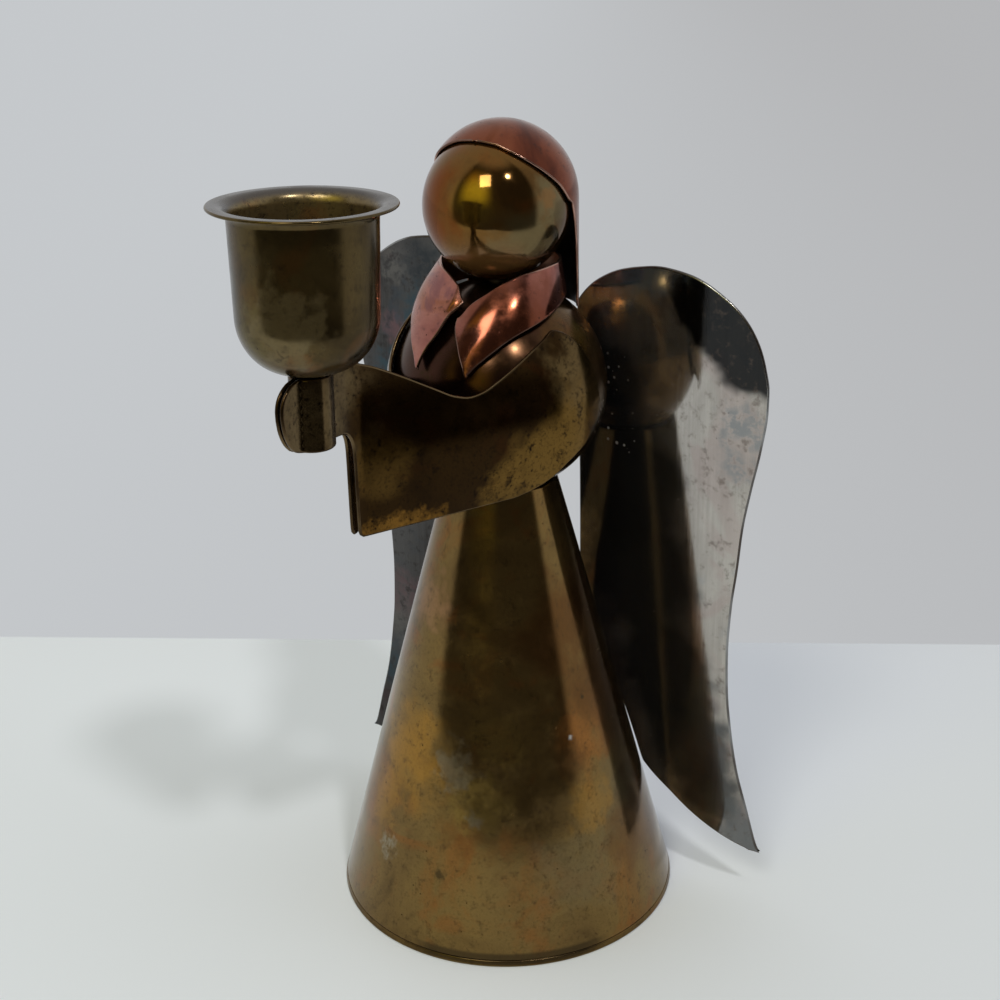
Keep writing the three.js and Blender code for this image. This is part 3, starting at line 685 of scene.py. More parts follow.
def broken_edges(outline, radius, steps=4, closed=True):
    """The outline of (radius, height) points with each corner replaced by a small round."""
    result = []
    count = len(outline)
    for i, corner in enumerate(outline):
        corner = Vector(corner)
        if not closed and i in (0, count - 1):
            result.append(corner)
            continue
        before = Vector(outline[i - 1]) - corner
        after = Vector(outline[(i + 1) % count]) - corner
        reach = min(radius, ROUND_SHARE * before.length, ROUND_SHARE * after.length)
        start = corner + before.normalized() * reach
        end = corner + after.normalized() * reach
        for step in range(steps + 1):
            t = step / steps
            result.append(start * (1 - t) ** 2 + corner * 2 * t * (1 - t) + end * t ** 2)
    return result


def turned(name, outline, place=Matrix(), closed=False, steps=192):
    """Turns an outline, drawn upward on the outside, about the Z axis."""
    outline = [Vector(point) for point in outline]
    count = len(outline)
    slants = []
    for i, point in enumerate(outline):
        slant = Vector((0, 0))
        for a, b in ((i - 1, i), (i, i + 1)):
            if closed or 0 <= a < b < count:
                slant += outline[b % count] - outline[a % count]
        slants.append(Vector((slant.y, -slant.x)))
    points, normals, faces, rings = [], [], [], []
    for (radius, height), slant in zip(outline, slants):
        on_axis = radius < 1e-6
        ring = []
        for step in range(1 if on_axis else steps):
            angle = 2 * math.pi * step / steps
            way = Vector((math.cos(angle), math.sin(angle), 0))
            ring.append(len(points))
            points.append(place @ (way * radius + Vector((0, 0, height))))
            outward = Vector((0, 0, slant.y)) if on_axis else way * slant.x + Vector((0, 0, slant.y))
            normals.append(place.to_3x3() @ outward)
        rings.append(ring * steps if on_axis else ring)
    for i in range(count if closed else count - 1):
        low, high = rings[i], rings[(i + 1) % count]
        for step in range(steps):
            following = (step + 1) % steps
            corners = [low[step], low[following], high[following], high[step]]
            faces.append([c for k, c in enumerate(corners) if c not in corners[:k]])
    return piece_from(name, points, faces, normals)


print("lathe ready")

# %% [markdown]
# ## Setting a piece in its place
# Each fine piece stands for one node of the frame and moves with it. Setting it in place means three things:
# it rides on the figure, it takes the place of the simple solid, and it gets its finishes. The helper also
# prints how far the piece's box is from the solid's, so that a wrong size is seen at once.

# %% Setting a piece in its place
def settle(piece, node, slot, *finishes):
    """The piece stands for a node of the frame, rides with it and gets its finishes."""
    for finish in finishes:
        piece.data.materials.append(finish)
    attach(piece, "root")
    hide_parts(node)
    low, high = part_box(node)
    corners = [vertex.co for vertex in piece.data.vertices]
    gap = 0.0
    for axis in range(3):
        places = [corner[axis] for corner in corners]
        gap = max(gap, abs(min(places) - low[axis]), abs(max(places) - high[axis]))
    print(piece.name, len(corners), "points, within", round(gap / MM, 2), "mm of the frame's box")


print("pieces can be set in place")

# %% [markdown]
# ## Skirt and base
# The skirt is a cone of sheet, rolled and brazed or spun over a former. A plate closes it from below, and
# its seam is a thin line just above the table, so skirt and plate are two pieces with a hair of air between
# them. Blender's own cone has neither a wall nor a seam, so both are turned from their outlines.

# %% Skirt and base
EDGE_ROUND = 0.22
SEAM = 0.08             # the hair of air between skirt and plate
SKIRT_STEPS = 256
skirt_foot = BASE_HEIGHT + SEAM
skirt_outline = [
    (skirt_radius_at(skirt_foot) - skirt_wall, skirt_foot),
    (skirt_radius_at(skirt_foot), skirt_foot),
    (SKIRT_RIM_RADIUS, SKIRT_HEIGHT),
    (SKIRT_RIM_RADIUS - skirt_wall, SKIRT_HEIGHT),
]
base_outline = [
    (0, 0),
    (SKIRT_RADIUS - EDGE_ROUND, 0),
    (SKIRT_RADIUS, EDGE_ROUND),
    (skirt_radius_at(BASE_HEIGHT), BASE_HEIGHT),
    (0, BASE_HEIGHT),
]
skirt = turned("skirt_cone", broken_edges(skirt_outline, EDGE_ROUND), closed=True, steps=SKIRT_STEPS)
base = turned("base_disc", broken_edges(base_outline, EDGE_ROUND, closed=False), steps=SKIRT_STEPS)
print("skirt foot at", round(skirt_foot, 2), "mm, rim at", SKIRT_HEIGHT, "mm")

# %% [markdown]
# ## Skirt finish
# The skirt is the largest mirror and carries the most marks: amber and orange clouds low on the left, brown
# on the right, a few chalky curls where something was wiped off, and one chip. A mark's place is its turn
# round the cone and its height, which is how one would point at it on the real skirt. In front, a painted
# shade runs along the foot of both pieces: a dark band that stands in for the dark reflection seen along the
# foot. It is laid over the finished brass as one more layer of colour.

# %% Skirt finish
def on_skirt(turn, height):
    angle = math.radians(turn)
    radius = skirt_radius_at(height)
    return (radius * math.sin(angle), -radius * math.cos(angle), height)


AMBER = (0.350, 0.180, 0.034)
ORANGE = (0.300, 0.125, 0.032)
RUST = (0.140, 0.066, 0.021)
GREY_BRASS = (0.175, 0.135, 0.066)
SALMON = (0.330, 0.180, 0.085)
STRAW = (0.330, 0.220, 0.060)
CHALK = (0.300, 0.265, 0.190)
DUST = (0.230, 0.200, 0.135)
# dark brown for small real specks, and also for the painted shade along the foot
SOOT_AND_SHADE = (0.060, 0.040, 0.018)
CHIP = (0.75, 0.72, 0.66)
SKIRT_MARKS = [
    Mark(on_skirt(-16, 37), 13.0, AMBER, 0.8),
    Mark(on_skirt(-40, 24), 12.0, ORANGE, 0.6),
    Mark(on_skirt(73, 42), 9.0, ORANGE, 0.9),
    Mark(on_skirt(62, 16), 12.0, GREY_BRASS, 0.6),
    Mark(on_skirt(86, 26), 10.0, GREY_BRASS, 0.6),
    Mark(on_skirt(78, 62), 15.0, RUST, 0.9),
    Mark(on_skirt(72, 28), 7.0, AMBER, 0.5),
    Mark(on_skirt(95, 18), 14.0, RUST, 0.7),
    Mark(on_skirt(100, 45), 13.0, RUST, 0.7),
    Mark(on_skirt(88, 50), 10.0, RUST, 0.8),
    Mark(on_skirt(-24, 66), 7.0, SALMON, 0.7, 0.2),
    Mark(on_skirt(-28, 25), 7.0, AMBER, 0.6),
    Mark(on_skirt(66, 37), 5.0, RUST, 0.7),
    Mark(on_skirt(22, 31), 8.0, STRAW, 0.8),
    Mark(on_skirt(31, 43), 7.0, STRAW, 0.5),
    Mark(on_skirt(20, 28), 2.4, CHALK, 0.55, 0.9),
    Mark(on_skirt(-19, 17), 3.4, CHALK, 0.8, 0.9),
    Mark(on_skirt(65.9, 41.8), 0.7, CHIP, 1.0),
    Mark(on_skirt(77.5, 48.3), 0.55, SOOT_AND_SHADE, 1.0),
    Mark(on_skirt(7.5, 16.3), 1.7, SOOT_AND_SHADE, 0.8, 0.7),
]
chalk_film = Film(Mark(on_skirt(9.5, 37), 5.5, DUST, 0.6, ragged=0.6), share=0.82)
# painted shade: a dark band along the foot in front, standing in for the dark reflection there
FOOT_SHADE_TURN = 34
FOOT_SHADE_REACH = 21.0
FOOT_SHADE_LEVEL = 1.5
FOOT_SHADE_FROM = (0.3, 0.6)    # heights between which it comes up
FOOT_SHADE_TO = (2.2, 2.9)      # heights between which it ends
FOOT_SHADE_STRENGTH = 0.85


# lays the painted shade band of the foot over the finished brass
def paint_foot_shade(material):
    tree = material.node_tree
    colour_socket = tree.nodes["Principled BSDF"].inputs["Base Color"]
    brass = colour_socket.links[0].from_socket
    place = millimetres(tree)
    height = add(tree, "SeparateXYZ", {0: place}).outputs[2]
    above = band(tree, height, *FOOT_SHADE_FROM)
    below = band(tree, height, *FOOT_SHADE_TO, FOOT_SHADE_STRENGTH, 0.0)
    middle = on_skirt(FOOT_SHADE_TURN, FOOT_SHADE_LEVEL)
    front = patch(tree, place, middle, FOOT_SHADE_REACH, soft=0.3, ragged=0.03)
    there = maths(tree, "MULTIPLY", maths(tree, "MULTIPLY", above, below), front)
    put(tree, colour_socket, layer(tree, there, brass, SOOT_AND_SHADE))


SKIRT_TONE = (0.82, 0.76, 0.79)
BASE_TONE = (0.62, 0.56, 0.56)
skirt_finish = brass_finish("skirt brass", 0.0, SKIRT_TONE, SKIRT_MARKS, shine=0.12, stains=0.65,
                            film_patch=chalk_film)
base_finish = brass_finish("base brass", 35.0, BASE_TONE, shine=0.20)
paint_foot_shade(skirt_finish)
paint_foot_shade(base_finish)
settle(skirt, "skirt", "brass", skirt_finish)
settle(base, "base_plate", "brass", base_finish)

# %% [markdown]
# ## Torso and head
# Both balls are plain: the head has no face. A ball of an even mesh would show its poles as a pinch in the
# reflection, but with exact normals the lathe gives a perfect mirror ball. The head is orange on one side
# and olive on the other. It has a painted yellow glow in front, below the lamp's glint. Under its chin is a
# painted reflection of the copper scarf: an orange-brown film that also takes some of the metal away. The
# torso's front, between scarf and arms, is painted dark as shade.

# %% Torso and head
BALL_RINGS = 72


def ball_outline(radius, centre_z):
    angles = [math.pi * i / BALL_RINGS for i in range(BALL_RINGS + 1)]
    return [(radius * abs(math.sin(a)) * (0 < i < BALL_RINGS), centre_z - radius * math.cos(a))
            for i, a in enumerate(angles)]


EMBER = (0.180, 0.050, 0.007)
MOSS = (0.165, 0.128, 0.060)
PAINTED_GLOW_YELLOW = (0.250, 0.155, 0.028)
UMBER = (0.090, 0.046, 0.013)
CHIN_REFLECTION_BROWN = (0.230, 0.110, 0.034)
HEAD_MARKS = [
    Mark((-9.5, -9.0, head_z), 13.5, EMBER, 0.95),
    Mark((10.5, -7.0, head_z - 4), 8.0, MOSS, 0.8),
    Mark((12.8, -1.5, head_z + 2.5), 6.5, MOSS, 0.9),
    Mark((12.6, -2.9, head_z + 3), 2.5, ORANGE, 0.4),
    # painted glow: a yellow patch in front, below the lamp's glint
    Mark((3.2, -12.4, head_z + 2.8), 5.4, PAINTED_GLOW_YELLOW, 0.9, ragged=0.1),
    Mark((9.6, -7.6, head_z + 5.5), 5.0, UMBER, 0.8),
]
# painted shade: the torso's front, between scarf and arms, made darker
TORSO_SHADE_BROWN = (0.045, 0.018, 0.013)
TORSO_SHADE_MARKS = [Mark((2, -18, torso_z + 7), 30.0, TORSO_SHADE_BROWN, 0.9)]
torso = turned("torso_sphere", ball_outline(TORSO_RADIUS, torso_z))
head = turned("head_sphere", ball_outline(HEAD_RADIUS, head_z))
TORSO_TONE = (0.50, 0.40, 0.36)
HEAD_TONE = (0.66, 0.48, 0.38)
torso_finish = brass_finish("torso brass", 140.0, TORSO_TONE, TORSO_SHADE_MARKS, shine=0.18)
# painted reflection of the copper scarf under the chin, as an orange-brown film with less metal
chin_reflection_mark = Mark((3, -8, head_z - 13), 12.5, CHIN_REFLECTION_BROWN, 0.9, soft=0.5, ragged=0.1)
head_finish = brass_finish("head brass", 310.0, HEAD_TONE, HEAD_MARKS, shine=0.08, share=0.92, stains=0.25,
                           film_patch=Film(chin_reflection_mark, share=0.4))
settle(torso, "torso_ball", "brass", torso_finish)
settle(head, "head_ball", "brass", head_finish)

# %% [markdown]
# ## Candle cup
# The cup was spun from thin sheet: a straight wall, a rounded bottom and a flat flange bent out over a
# small radius. Its stem passes through the floor of the cup and is riveted over inside. Both are turned
# upright with the middle of the rim at the origin, and one matrix then leans them toward the figure.

# %% Candle cup
CUP_REACH = 52.7        # the rim's middle in front of the figure's axis
CUP_LEAN = 1.4          # degrees, toward the figure
CUP_BORE = 11.1         # radius
CUP_SHEET = 0.55
CUP_HEIGHT = 26.2
CUP_DRAFT = 0.35        # the wall narrows by this much toward the bottom
CUP_FLARE = 1.6         # radius of the bend below the flange
CUP_FLANGE = 3.05       # how far the flange stands out from the wall
CUP_CORNER = (8.0, 9.0) # the rounded bottom, across and upward
CUP_LIFT = 0.5          # air between the hands and the cup
HAND_BOTTOM = 4.9       # both above the torso's centre
HAND_TOP = 17.0
STEM_RADIUS = 2.6
TENON_RADIUS = 1.5      # the thin end that goes through the floor
RIVET_RADIUS = 2.7
RIVET_HEIGHT = 0.9
RIVET_TOP = 0.75        # the rivet's flat top, as a share of its radius

rim_z = torso_z + HAND_TOP + CUP_LIFT + CUP_HEIGHT
lean = math.radians(CUP_LEAN)
holder = Matrix.Translation((0, -CUP_REACH, rim_z)) @ Matrix.Rotation(-lean, 4, "X")
cup_wall = CUP_BORE + CUP_SHEET


def arc(first, last, count):
    return [math.radians(mix(first, last, i / count)) for i in range(count + 1)]


def cup_bottom(inset):
    across, along = CUP_CORNER
    return [(cup_wall - CUP_DRAFT - across + (across - inset) * math.sin(a),
             along - CUP_HEIGHT - (along - inset) * math.cos(a)) for a in arc(0, 90, 18)]


def cup_flare(radius):
    return [(cup_wall + CUP_FLARE - radius * math.cos(a),
             -CUP_FLARE - CUP_SHEET + radius * math.sin(a)) for a in arc(0, 90, 8)]


def flange_edge():
    half = CUP_SHEET / 2
    middle = cup_wall + CUP_FLANGE - half
    return [(middle + half * math.cos(a), -half + half * math.sin(a)) for a in arc(-90, 90, 6)]


tenon_hole = TENON_RADIUS + FIT
cup_outside = [(tenon_hole, -CUP_HEIGHT), *cup_bottom(0), *cup_flare(CUP_FLARE), *flange_edge()]
cup_inside = [*reversed(cup_flare(CUP_FLARE + CUP_SHEET)), *reversed(cup_bottom(CUP_SHEET)),
              (tenon_hole, CUP_SHEET - CUP_HEIGHT)]
rivet_z = CUP_SHEET - CUP_HEIGHT + FIT
stem_foot = (torso_z + HAND_BOTTOM - rim_z) / math.cos(lean)
stem_outline = [(0, stem_foot), (STEM_RADIUS, stem_foot), (STEM_RADIUS, -CUP_HEIGHT - FIT),
                (TENON_RADIUS, -CUP_HEIGHT - FIT), (TENON_RADIUS, rivet_z), (RIVET_RADIUS, rivet_z),
                (RIVET_TOP * RIVET_RADIUS, rivet_z + RIVET_HEIGHT), (0, rivet_z + RIVET_HEIGHT)]
CUP_STEPS = 192
STEM_STEPS = 96
cup = turned("cup_bowl", cup_outside + cup_inside, place=holder, closed=True, steps=CUP_STEPS)
stem = turned("cup_post", broken_edges(stem_outline, EDGE_ROUND, closed=False), place=holder,
              steps=STEM_STEPS)
print("rim of the cup at", round(rim_z, 2), "mm, foot of the stem", round(-stem_foot, 2), "mm below it")

# %% [markdown]
# ## Cup finish
# Outside, the cup is dull olive brass with a haze of old wax low in front. A painted dark reflection widens
# the mirrored dark opening toward the figure's right, and lighter brown breaks up its lower edge as painted
# reflection. Its mouth is a second finish: warm, lighter brass inside as painted light for what the inside
# reflects, rough where candles have rubbed, and worn to grey on the flange. A second object inside the first
# would need its own gap, so the faces of the mouth simply take the second finish.

# %% Cup finish
CUP_TONE = (0.40, 0.40, 0.43)
# painted light: the inside's brass much lighter than the outside's
MOUTH_LIT_TONE = (0.98, 1.06, 1.5)
HAZEL_REFLECTION_EDGE = (0.135, 0.105, 0.040)
DARK_REFLECTION_SEPIA = (0.058, 0.046, 0.026)
WAX = (0.160, 0.120, 0.055)
GREY_RIM = (0.076, 0.071, 0.073)
RIM_WEAR = (1.6, 0.5)   # depths below the rim between which the grey comes up
RIM_WEAR_STRENGTH = 0.85
CUP_MARKS_AND_REFLECTIONS = [
    Mark(holder @ Vector((5, -10, 2.5 - CUP_HEIGHT)), 5.0, RUST, 0.9),
    # painted reflection: lighter brown breaking up the lower edge of the mirrored dark opening
    Mark(holder @ Vector((-2, -11, 8 - CUP_HEIGHT)), 7.0, HAZEL_REFLECTION_EDGE, 0.7, 0.5),
    # painted reflection: widens the mirrored dark opening toward the figure's right
    Mark(holder @ Vector((-9.7, -6.4, -11)), 13.0, DARK_REFLECTION_SEPIA, 0.85),
]
wax_spot = holder @ Vector((4.5, -10.5, 9.5 - CUP_HEIGHT))
wax_film = Film(Mark(wax_spot, 8.0, WAX, 0.8, soft=0.5, ragged=0.5), share=0.72)
cup_finish = brass_finish("cup brass", 520.0, CUP_TONE, CUP_MARKS_AND_REFLECTIONS, shine=0.17, share=0.84, stains=0.6,
                          film_patch=wax_film)
settle(cup, "candle_cup", "brass", cup_finish)
settle(stem, "cup_stem", "brass", brass_finish("stem brass", 640.0, CUP_TONE))


def mouth_finish():
    """Dull brass inside the cup, lightened as painted light for what the inside reflects, worn to a grey rim
    on the flange.
    """
    material = brass_finish("cup mouth brass", 580.0, MOUTH_LIT_TONE, shine=0.22, share=0.80)
    tree = material.node_tree
    colour_socket = tree.nodes["Principled BSDF"].inputs["Base Color"]
    brass = colour_socket.links[0].from_socket
    height = add(tree, "SeparateXYZ", {0: millimetres(tree)}).outputs[2]
    deep, shallow = RIM_WEAR
    worn = band(tree, height, rim_z - deep, rim_z - shallow, 0.0, RIM_WEAR_STRENGTH)
    put(tree, colour_socket, layer(tree, worn, brass, GREY_RIM))
    return material


cup.data.materials.append(mouth_finish())
first_inside = (len(cup_outside) - 1) * CUP_STEPS
for face in cup.data.polygons[first_inside:]:
    face.material_index = 1
print("cup mouth takes", len(cup.data.polygons) - first_inside, "faces of the cup")

# %% [markdown]
# ## Cut and bent sheets
# Wings, arms, scarf and hood were cut from flat sheet along a drawn curve. A maker draws such a curve
# through a few points by eye. Blender's Bezier curves would do, but their handles are hard to give as
# numbers, so this helper turns a few points into a smooth line that never swings past any of them.

# %% Drawn curves
def curve_through(points):
    """A smooth y(x) through points sorted by x that never swings past a point."""
    xs = [x for x, _ in points]
    ys = [y for _, y in points]
    rises = [(ys[i + 1] - ys[i]) / (xs[i + 1] - xs[i]) for i in range(len(xs) - 1)]
    slopes = [0.0]
    for before, after in zip(rises, rises[1:]):
        slopes.append(0.0 if before * after <= 0 else 2 * before * after / (before + after))
    slopes.append(0.0)

    def curve(x):
        if x <= xs[0]:
            return ys[0]
        if x >= xs[-1]:
            return ys[-1]
        i = max(k for k, known in enumerate(xs) if known <= x)
        width = xs[i + 1] - xs[i]
        t = (x - xs[i]) / width
        bend = t * t * (3 - 2 * t)
        lean_in = slopes[i] * t * (1 - t) ** 2 - slopes[i + 1] * t * t * (1 - t)
        return mix(ys[i], ys[i + 1], bend) + width * lean_in

    return curve


def samples(first, last, count):
    return [mix(first, last, i / count) for i in range(count + 1)]


print("curves are drawn through points")

# %% [markdown]
# ## Filling an outline
# A sheet that will be bent needs many small faces, and a mirror needs them even. The outline is walked in
# equal steps, and a grid of staggered points fills the inside. Blender's own `delaunay_2d_cdt` later joins
# both into triangles. Filling the outline with one big face would be shorter, but it could not bend.

# %% Filling an outline
def even_steps(outline, spacing):
    """A closed outline walked counter-clockwise in steps of about spacing."""
    points = [Vector(p) for p in outline]
    area = sum(a.cross(b) for a, b in zip(points, points[1:] + points[:1]))
    if area < 0:
        points.reverse()
    lengths = [(b - a).length for a, b in zip(points, points[1:] + points[:1])]
    total = sum(lengths)
    count = round(total / spacing)
    steps, i, passed = [], 0, 0.0
    for step in range(count):
        goal = total * step / count
        while passed + lengths[i] < goal:
            passed += lengths[i]
            i += 1
        steps.append(points[i].lerp(points[(i + 1) % len(points)], (goal - passed) / lengths[i]))
    return steps


ROW_SHARE = 0.866       # rows of triangles with equal sides stand this much closer
RIM_ROOM = 0.6          # share of the spacing that the grid keeps from the rim


def grid_inside(rim, spacing):
    """Points of an even grid inside the rim that keep a little away from it."""
    ring = numpy.array(rim)
    low, high = ring.min(axis=0), ring.max(axis=0)
    rows = numpy.arange(low[1], high[1], spacing * ROW_SHARE)
    columns = numpy.arange(low[0], high[0], spacing)
    x, y = numpy.meshgrid(columns, rows)
    x[1::2] += spacing / 2
    grid = numpy.stack([x.ravel(), y.ravel()], axis=1)
    inside = numpy.zeros(len(grid), bool)
    nearest = numpy.full(len(grid), 1e9)
    for a, b in zip(ring, numpy.roll(ring, -1, axis=0)):
        crosses = (a[1] > grid[:, 1]) != (b[1] > grid[:, 1])
        rise = b[1] - a[1] if a[1] != b[1] else 1e-12
        inside ^= crosses & (grid[:, 0] < a[0] + (grid[:, 1] - a[1]) * (b[0] - a[0]) / rise)
        nearest = numpy.minimum(nearest, numpy.hypot(*(grid - a).T))
    return [Vector(p) for p in grid[inside & (nearest > RIM_ROOM * spacing)]]


print("outlines are filled with a staggered grid")

# %% [markdown]
# ## Bending a sheet
# The maker bends the cut blank by hand. Here a function `place(u, v)` says where each point of the flat
# blank ends up. The sheet gets its thickness along the surface normal and a round edge all along the cut.
# A Solidify modifier could add the thickness, but it would not keep the exact normals.

# %% Bending a sheet
def surface_normal(place, u, v, step=0.02):
    across = place(u + step, v) - place(u - step, v)
    along = place(u, v + step) - place(u, v - step)
    return across.cross(along).normalized()


EDGE_STEPS = 6          # faces round the cut edge


def cut_sheet(name, outline, place, thickness, spacing=1.0, lined=False):
    """A sheet cut to a flat outline, bent by place(u, v) and given a thickness with a round edge.

    The faces take the first finish and the cut edge the second. The back of a lined sheet takes the third.
    """
    rim = even_steps(outline, spacing)
    blank = rim + grid_inside(rim, spacing)
    around = len(rim)
    fence = [(i, (i + 1) % around) for i in range(around)]
    net = delaunay_2d_cdt(blank, fence, [], 1, 1e-6)
    blank, triangles = net[0], net[2]
    count = len(blank)
    half = thickness / 2
    middle = [place(*point) for point in blank]
    upright = [surface_normal(place, *point) for point in blank]
    outward = []
    for i in range(around):
        along = middle[(i + 1) % around] - middle[i - 1]
        outward.append(along.cross(upright[i]).normalized())
    points, normals = [], []
    for side in (half, -half):
        for i in range(count):
            inset = outward[i] * half if i < around else Vector()
            points.append(middle[i] + upright[i] * side - inset)
            normals.append(upright[i] * side)
    faces = [list(t) for t in triangles]
    faces += [[a + count, c + count, b + count] for a, b, c in triangles]
    for step in range(1, EDGE_STEPS):
        angle = math.pi / 2 - math.pi * step / EDGE_STEPS
        for i in range(around):
            way = outward[i] * math.cos(angle) + upright[i] * math.sin(angle)
            points.append(middle[i] - outward[i] * half + way * half)
            normals.append(way)

    def edge_point(step, i):
        i %= around
        if step == 0:
            return i
        if step == EDGE_STEPS:
            return count + i
        return 2 * count + (step - 1) * around + i

    for step in range(EDGE_STEPS):
        for i in range(around):
            faces.append([edge_point(step, i + 1), edge_point(step, i),
                          edge_point(step + 1, i), edge_point(step + 1, i + 1)])
    piece = piece_from(name, points, faces, normals)
    for face in piece.data.polygons[2 * len(triangles):]:
        face.material_index = 1
    if lined:
        for face in piece.data.polygons[len(triangles):2 * len(triangles)]:
            face.material_index = 2
    return piece


print("sheet helpers ready")

# %% [markdown]
# ## Wings
# Each wing is one plate. It lies on the back of the torso, comes forward a little as it goes out, bends
# back toward its outer edge, and its top leans forward. That gentle bend decides what the wing mirrors: the
# whole figure stands in the near wing as a dark image, and only the outer edge shows the pale table. The
# outline is given as shares of the span and the height, from the tip upward, and the inner edge is cut to
# fit round the skirt and the torso.

# %% Wings
WING_SHEET = 0.7
WING_SPAN = 48.5
WING_RISE = 1.8         # the wing's top above the neck
WING_HEIGHT = 118.2
WING_INNER_EDGE = 5.1   # distance from the middle
WING_SLANT = 0.134      # coming forward per millimetre outward
WING_FLAT_TO = 25.4     # distance from the middle where the bend begins
WING_BEND = 81.0        # radius of the bend
WING_CURL = 1.75        # how far the top leans forward
WING_CURL_FROM = 0.41   # share of the height where that begins
WING_EDGE_ROOM = 0.06   # a little more air than the fit
WING_OUTER = [
    (1, 0), (0.984, 0.02), (0.944, 0.078), (0.893, 0.151), (0.86, 0.225), (0.839, 0.299), (0.833, 0.372),
    (0.841, 0.447), (0.86, 0.519), (0.876, 0.591), (0.905, 0.661), (0.938, 0.73), (0.959, 0.796),
    (0.960, 0.828), (0.947, 0.86), (0.928, 0.889), (0.894, 0.919), (0.839, 0.948), (0.735, 0.979),
    (0.65, 0.9935), (0.59, 0.9977), (0.545, 0.9994), (0.51, 1),
]
WING_INNER = [
    (0.955, 0), (0.891, 0.008), (0.808, 0.02), (0.688, 0.044), (0.587, 0.07), (0.492, 0.094),
    (0.406, 0.125), (0.326, 0.168), (0.222, 0.254), (0.129, 0.392), (0.105, 0.473), (0.103, 0.915),
    (0.119, 0.926), (0.178, 0.952), (0.227, 0.966), (0.293, 0.980), (0.364, 0.9895), (0.433, 0.9957),
    (0.48, 0.999), (0.51, 1),
]
wing_tip = neck_z + WING_RISE - WING_HEIGHT


def wing_lean(level):
    return WING_CURL * (max(0.0, level - WING_CURL_FROM) / (1 - WING_CURL_FROM)) ** 2


wing_reach = TORSO_RADIUS + FIT + WING_SHEET / 2 + WING_EDGE_ROOM
wing_lean_at_torso = wing_lean((torso_z - wing_tip) / WING_HEIGHT)
wing_stand = math.sqrt(wing_reach ** 2 - WING_INNER_EDGE ** 2) + wing_lean_at_torso


def wing_depth(s, level):
    bend = max(0.0, s - WING_FLAT_TO) ** 2 / (2 * WING_BEND)
    return wing_stand - WING_SLANT * (s - WING_INNER_EDGE) + bend - wing_lean(level)


def wing_inner_edge(level, drawn):
    """The drawn inner edge, moved out where the skirt or the torso is in the way."""
    z = wing_tip + WING_HEIGHT * level
    s = max(drawn, WING_INNER_EDGE)
    for _ in range(8):
        face = wing_depth(s, level) - WING_SHEET / 2 - WING_EDGE_ROOM
        reaches = [0.0, (TORSO_RADIUS + FIT) ** 2 - (z - torso_z) ** 2 - face ** 2]
        if z < SKIRT_HEIGHT:
            reaches.append((skirt_radius_at(z) + FIT) ** 2 - face ** 2)
        s = max(s, math.sqrt(max(reaches)))
    return s


def wing_outline():
    outer = curve_through([(height, share * WING_SPAN) for share, height in WING_OUTER])
    inner = curve_through([(height, share * WING_SPAN) for share, height in WING_INNER])
    levels = samples(0, 0.95, 300) + samples(0.951, 1, 200)     # closer together in the round top
    edge = [(outer(level), level * WING_HEIGHT) for level in levels]
    for level in reversed(levels[:-1]):
        edge.append((wing_inner_edge(level, inner(level)), level * WING_HEIGHT))
    return edge


def wing(name, side):
    def place(s, height):
        return Vector((side * s, wing_depth(s, height / WING_HEIGHT), wing_tip + height))

    return cut_sheet(name, wing_outline(), place, WING_SHEET, lined=True)


wing_left = wing("left_wing", 1)
wing_right = wing("right_wing", -1)
print("wings reach", WING_SPAN, "mm to each side")

# %% [markdown]
# ## Wing finish
# In the near wing a painted dark reflection lies over the figure's image and fills one upper corner with
# black. A painted grey-blue reflection lies low by the tip, and the pale edge is scuffed. The far wing is
# darker all over, with blue and mauve films. Where the plate is bare, small pale dots shine through. The
# marks reach through the thin sheet, so the backs get a finish of their own: plain brushed silver. Which
# side of a sheet is its back follows from the direction of its normals, which a mirrored wing turns round.

# %% Wing finish
PALE = (0.62, 0.60, 0.58)
FLESH = (0.85, 0.76, 0.72)
SLATE_REFLECTION = (0.088, 0.090, 0.094)
DARK_REFLECTION_BLACK = (0.011, 0.012, 0.014)
SCUFF = (0.250, 0.260, 0.270)
STORM_REFLECTION = (0.160, 0.172, 0.185)
HAZE = (0.21, 0.27, 0.36)
LEFT_WING_MARKS_AND_REFLECTIONS = [
    Mark((12, 19.2, 122), 8.0, FLESH, 0.8),
    # painted dark reflection: one upper corner black
    Mark((50, 14, 135), 28.0, DARK_REFLECTION_BLACK, 0.96, soft=0.08, ragged=0.10),
    # painted dark reflection over the mirrored figure, down the inner part of the wing
    Mark((12, 19, 104), 15.0, SLATE_REFLECTION, 0.9),
    Mark((16, 18.6, 85), 17.0, SLATE_REFLECTION, 0.9, soft=0.4, ragged=0.2),
    Mark((20, 18, 65), 17.0, SLATE_REFLECTION, 0.9, soft=0.4, ragged=0.2),
    Mark((27, 17.2, 45), 14.0, SLATE_REFLECTION, 0.9, soft=0.4, ragged=0.2),
    Mark((33, 16.4, 31), 13.0, SLATE_REFLECTION, 0.9, soft=0.5, ragged=0.2),
    Mark((38, 15.8, 21), 9.0, SLATE_REFLECTION, 0.9, soft=0.5, ragged=0.2),
    # painted reflection: a grey-blue band low by the tip
    Mark((46, 15, 11), 13.0, STORM_REFLECTION, 0.85),
    Mark((42, 15.1, 100), 6.5, SCUFF, 0.9, 0.9),
    Mark((41, 15.2, 92), 5.5, SCUFF, 0.9, 0.9),
]
LEFT_WING_DOTS = [Mark((13, 19, 106), 6.0, PALE, 0.9), Mark((15.5, 18.6, 94), 6.0, PALE, 0.9)]
TEAL = (0.045, 0.070, 0.085)
MAUVE = (0.140, 0.084, 0.088)
ASH = (0.130, 0.122, 0.112)
INK = (0.030, 0.036, 0.042)
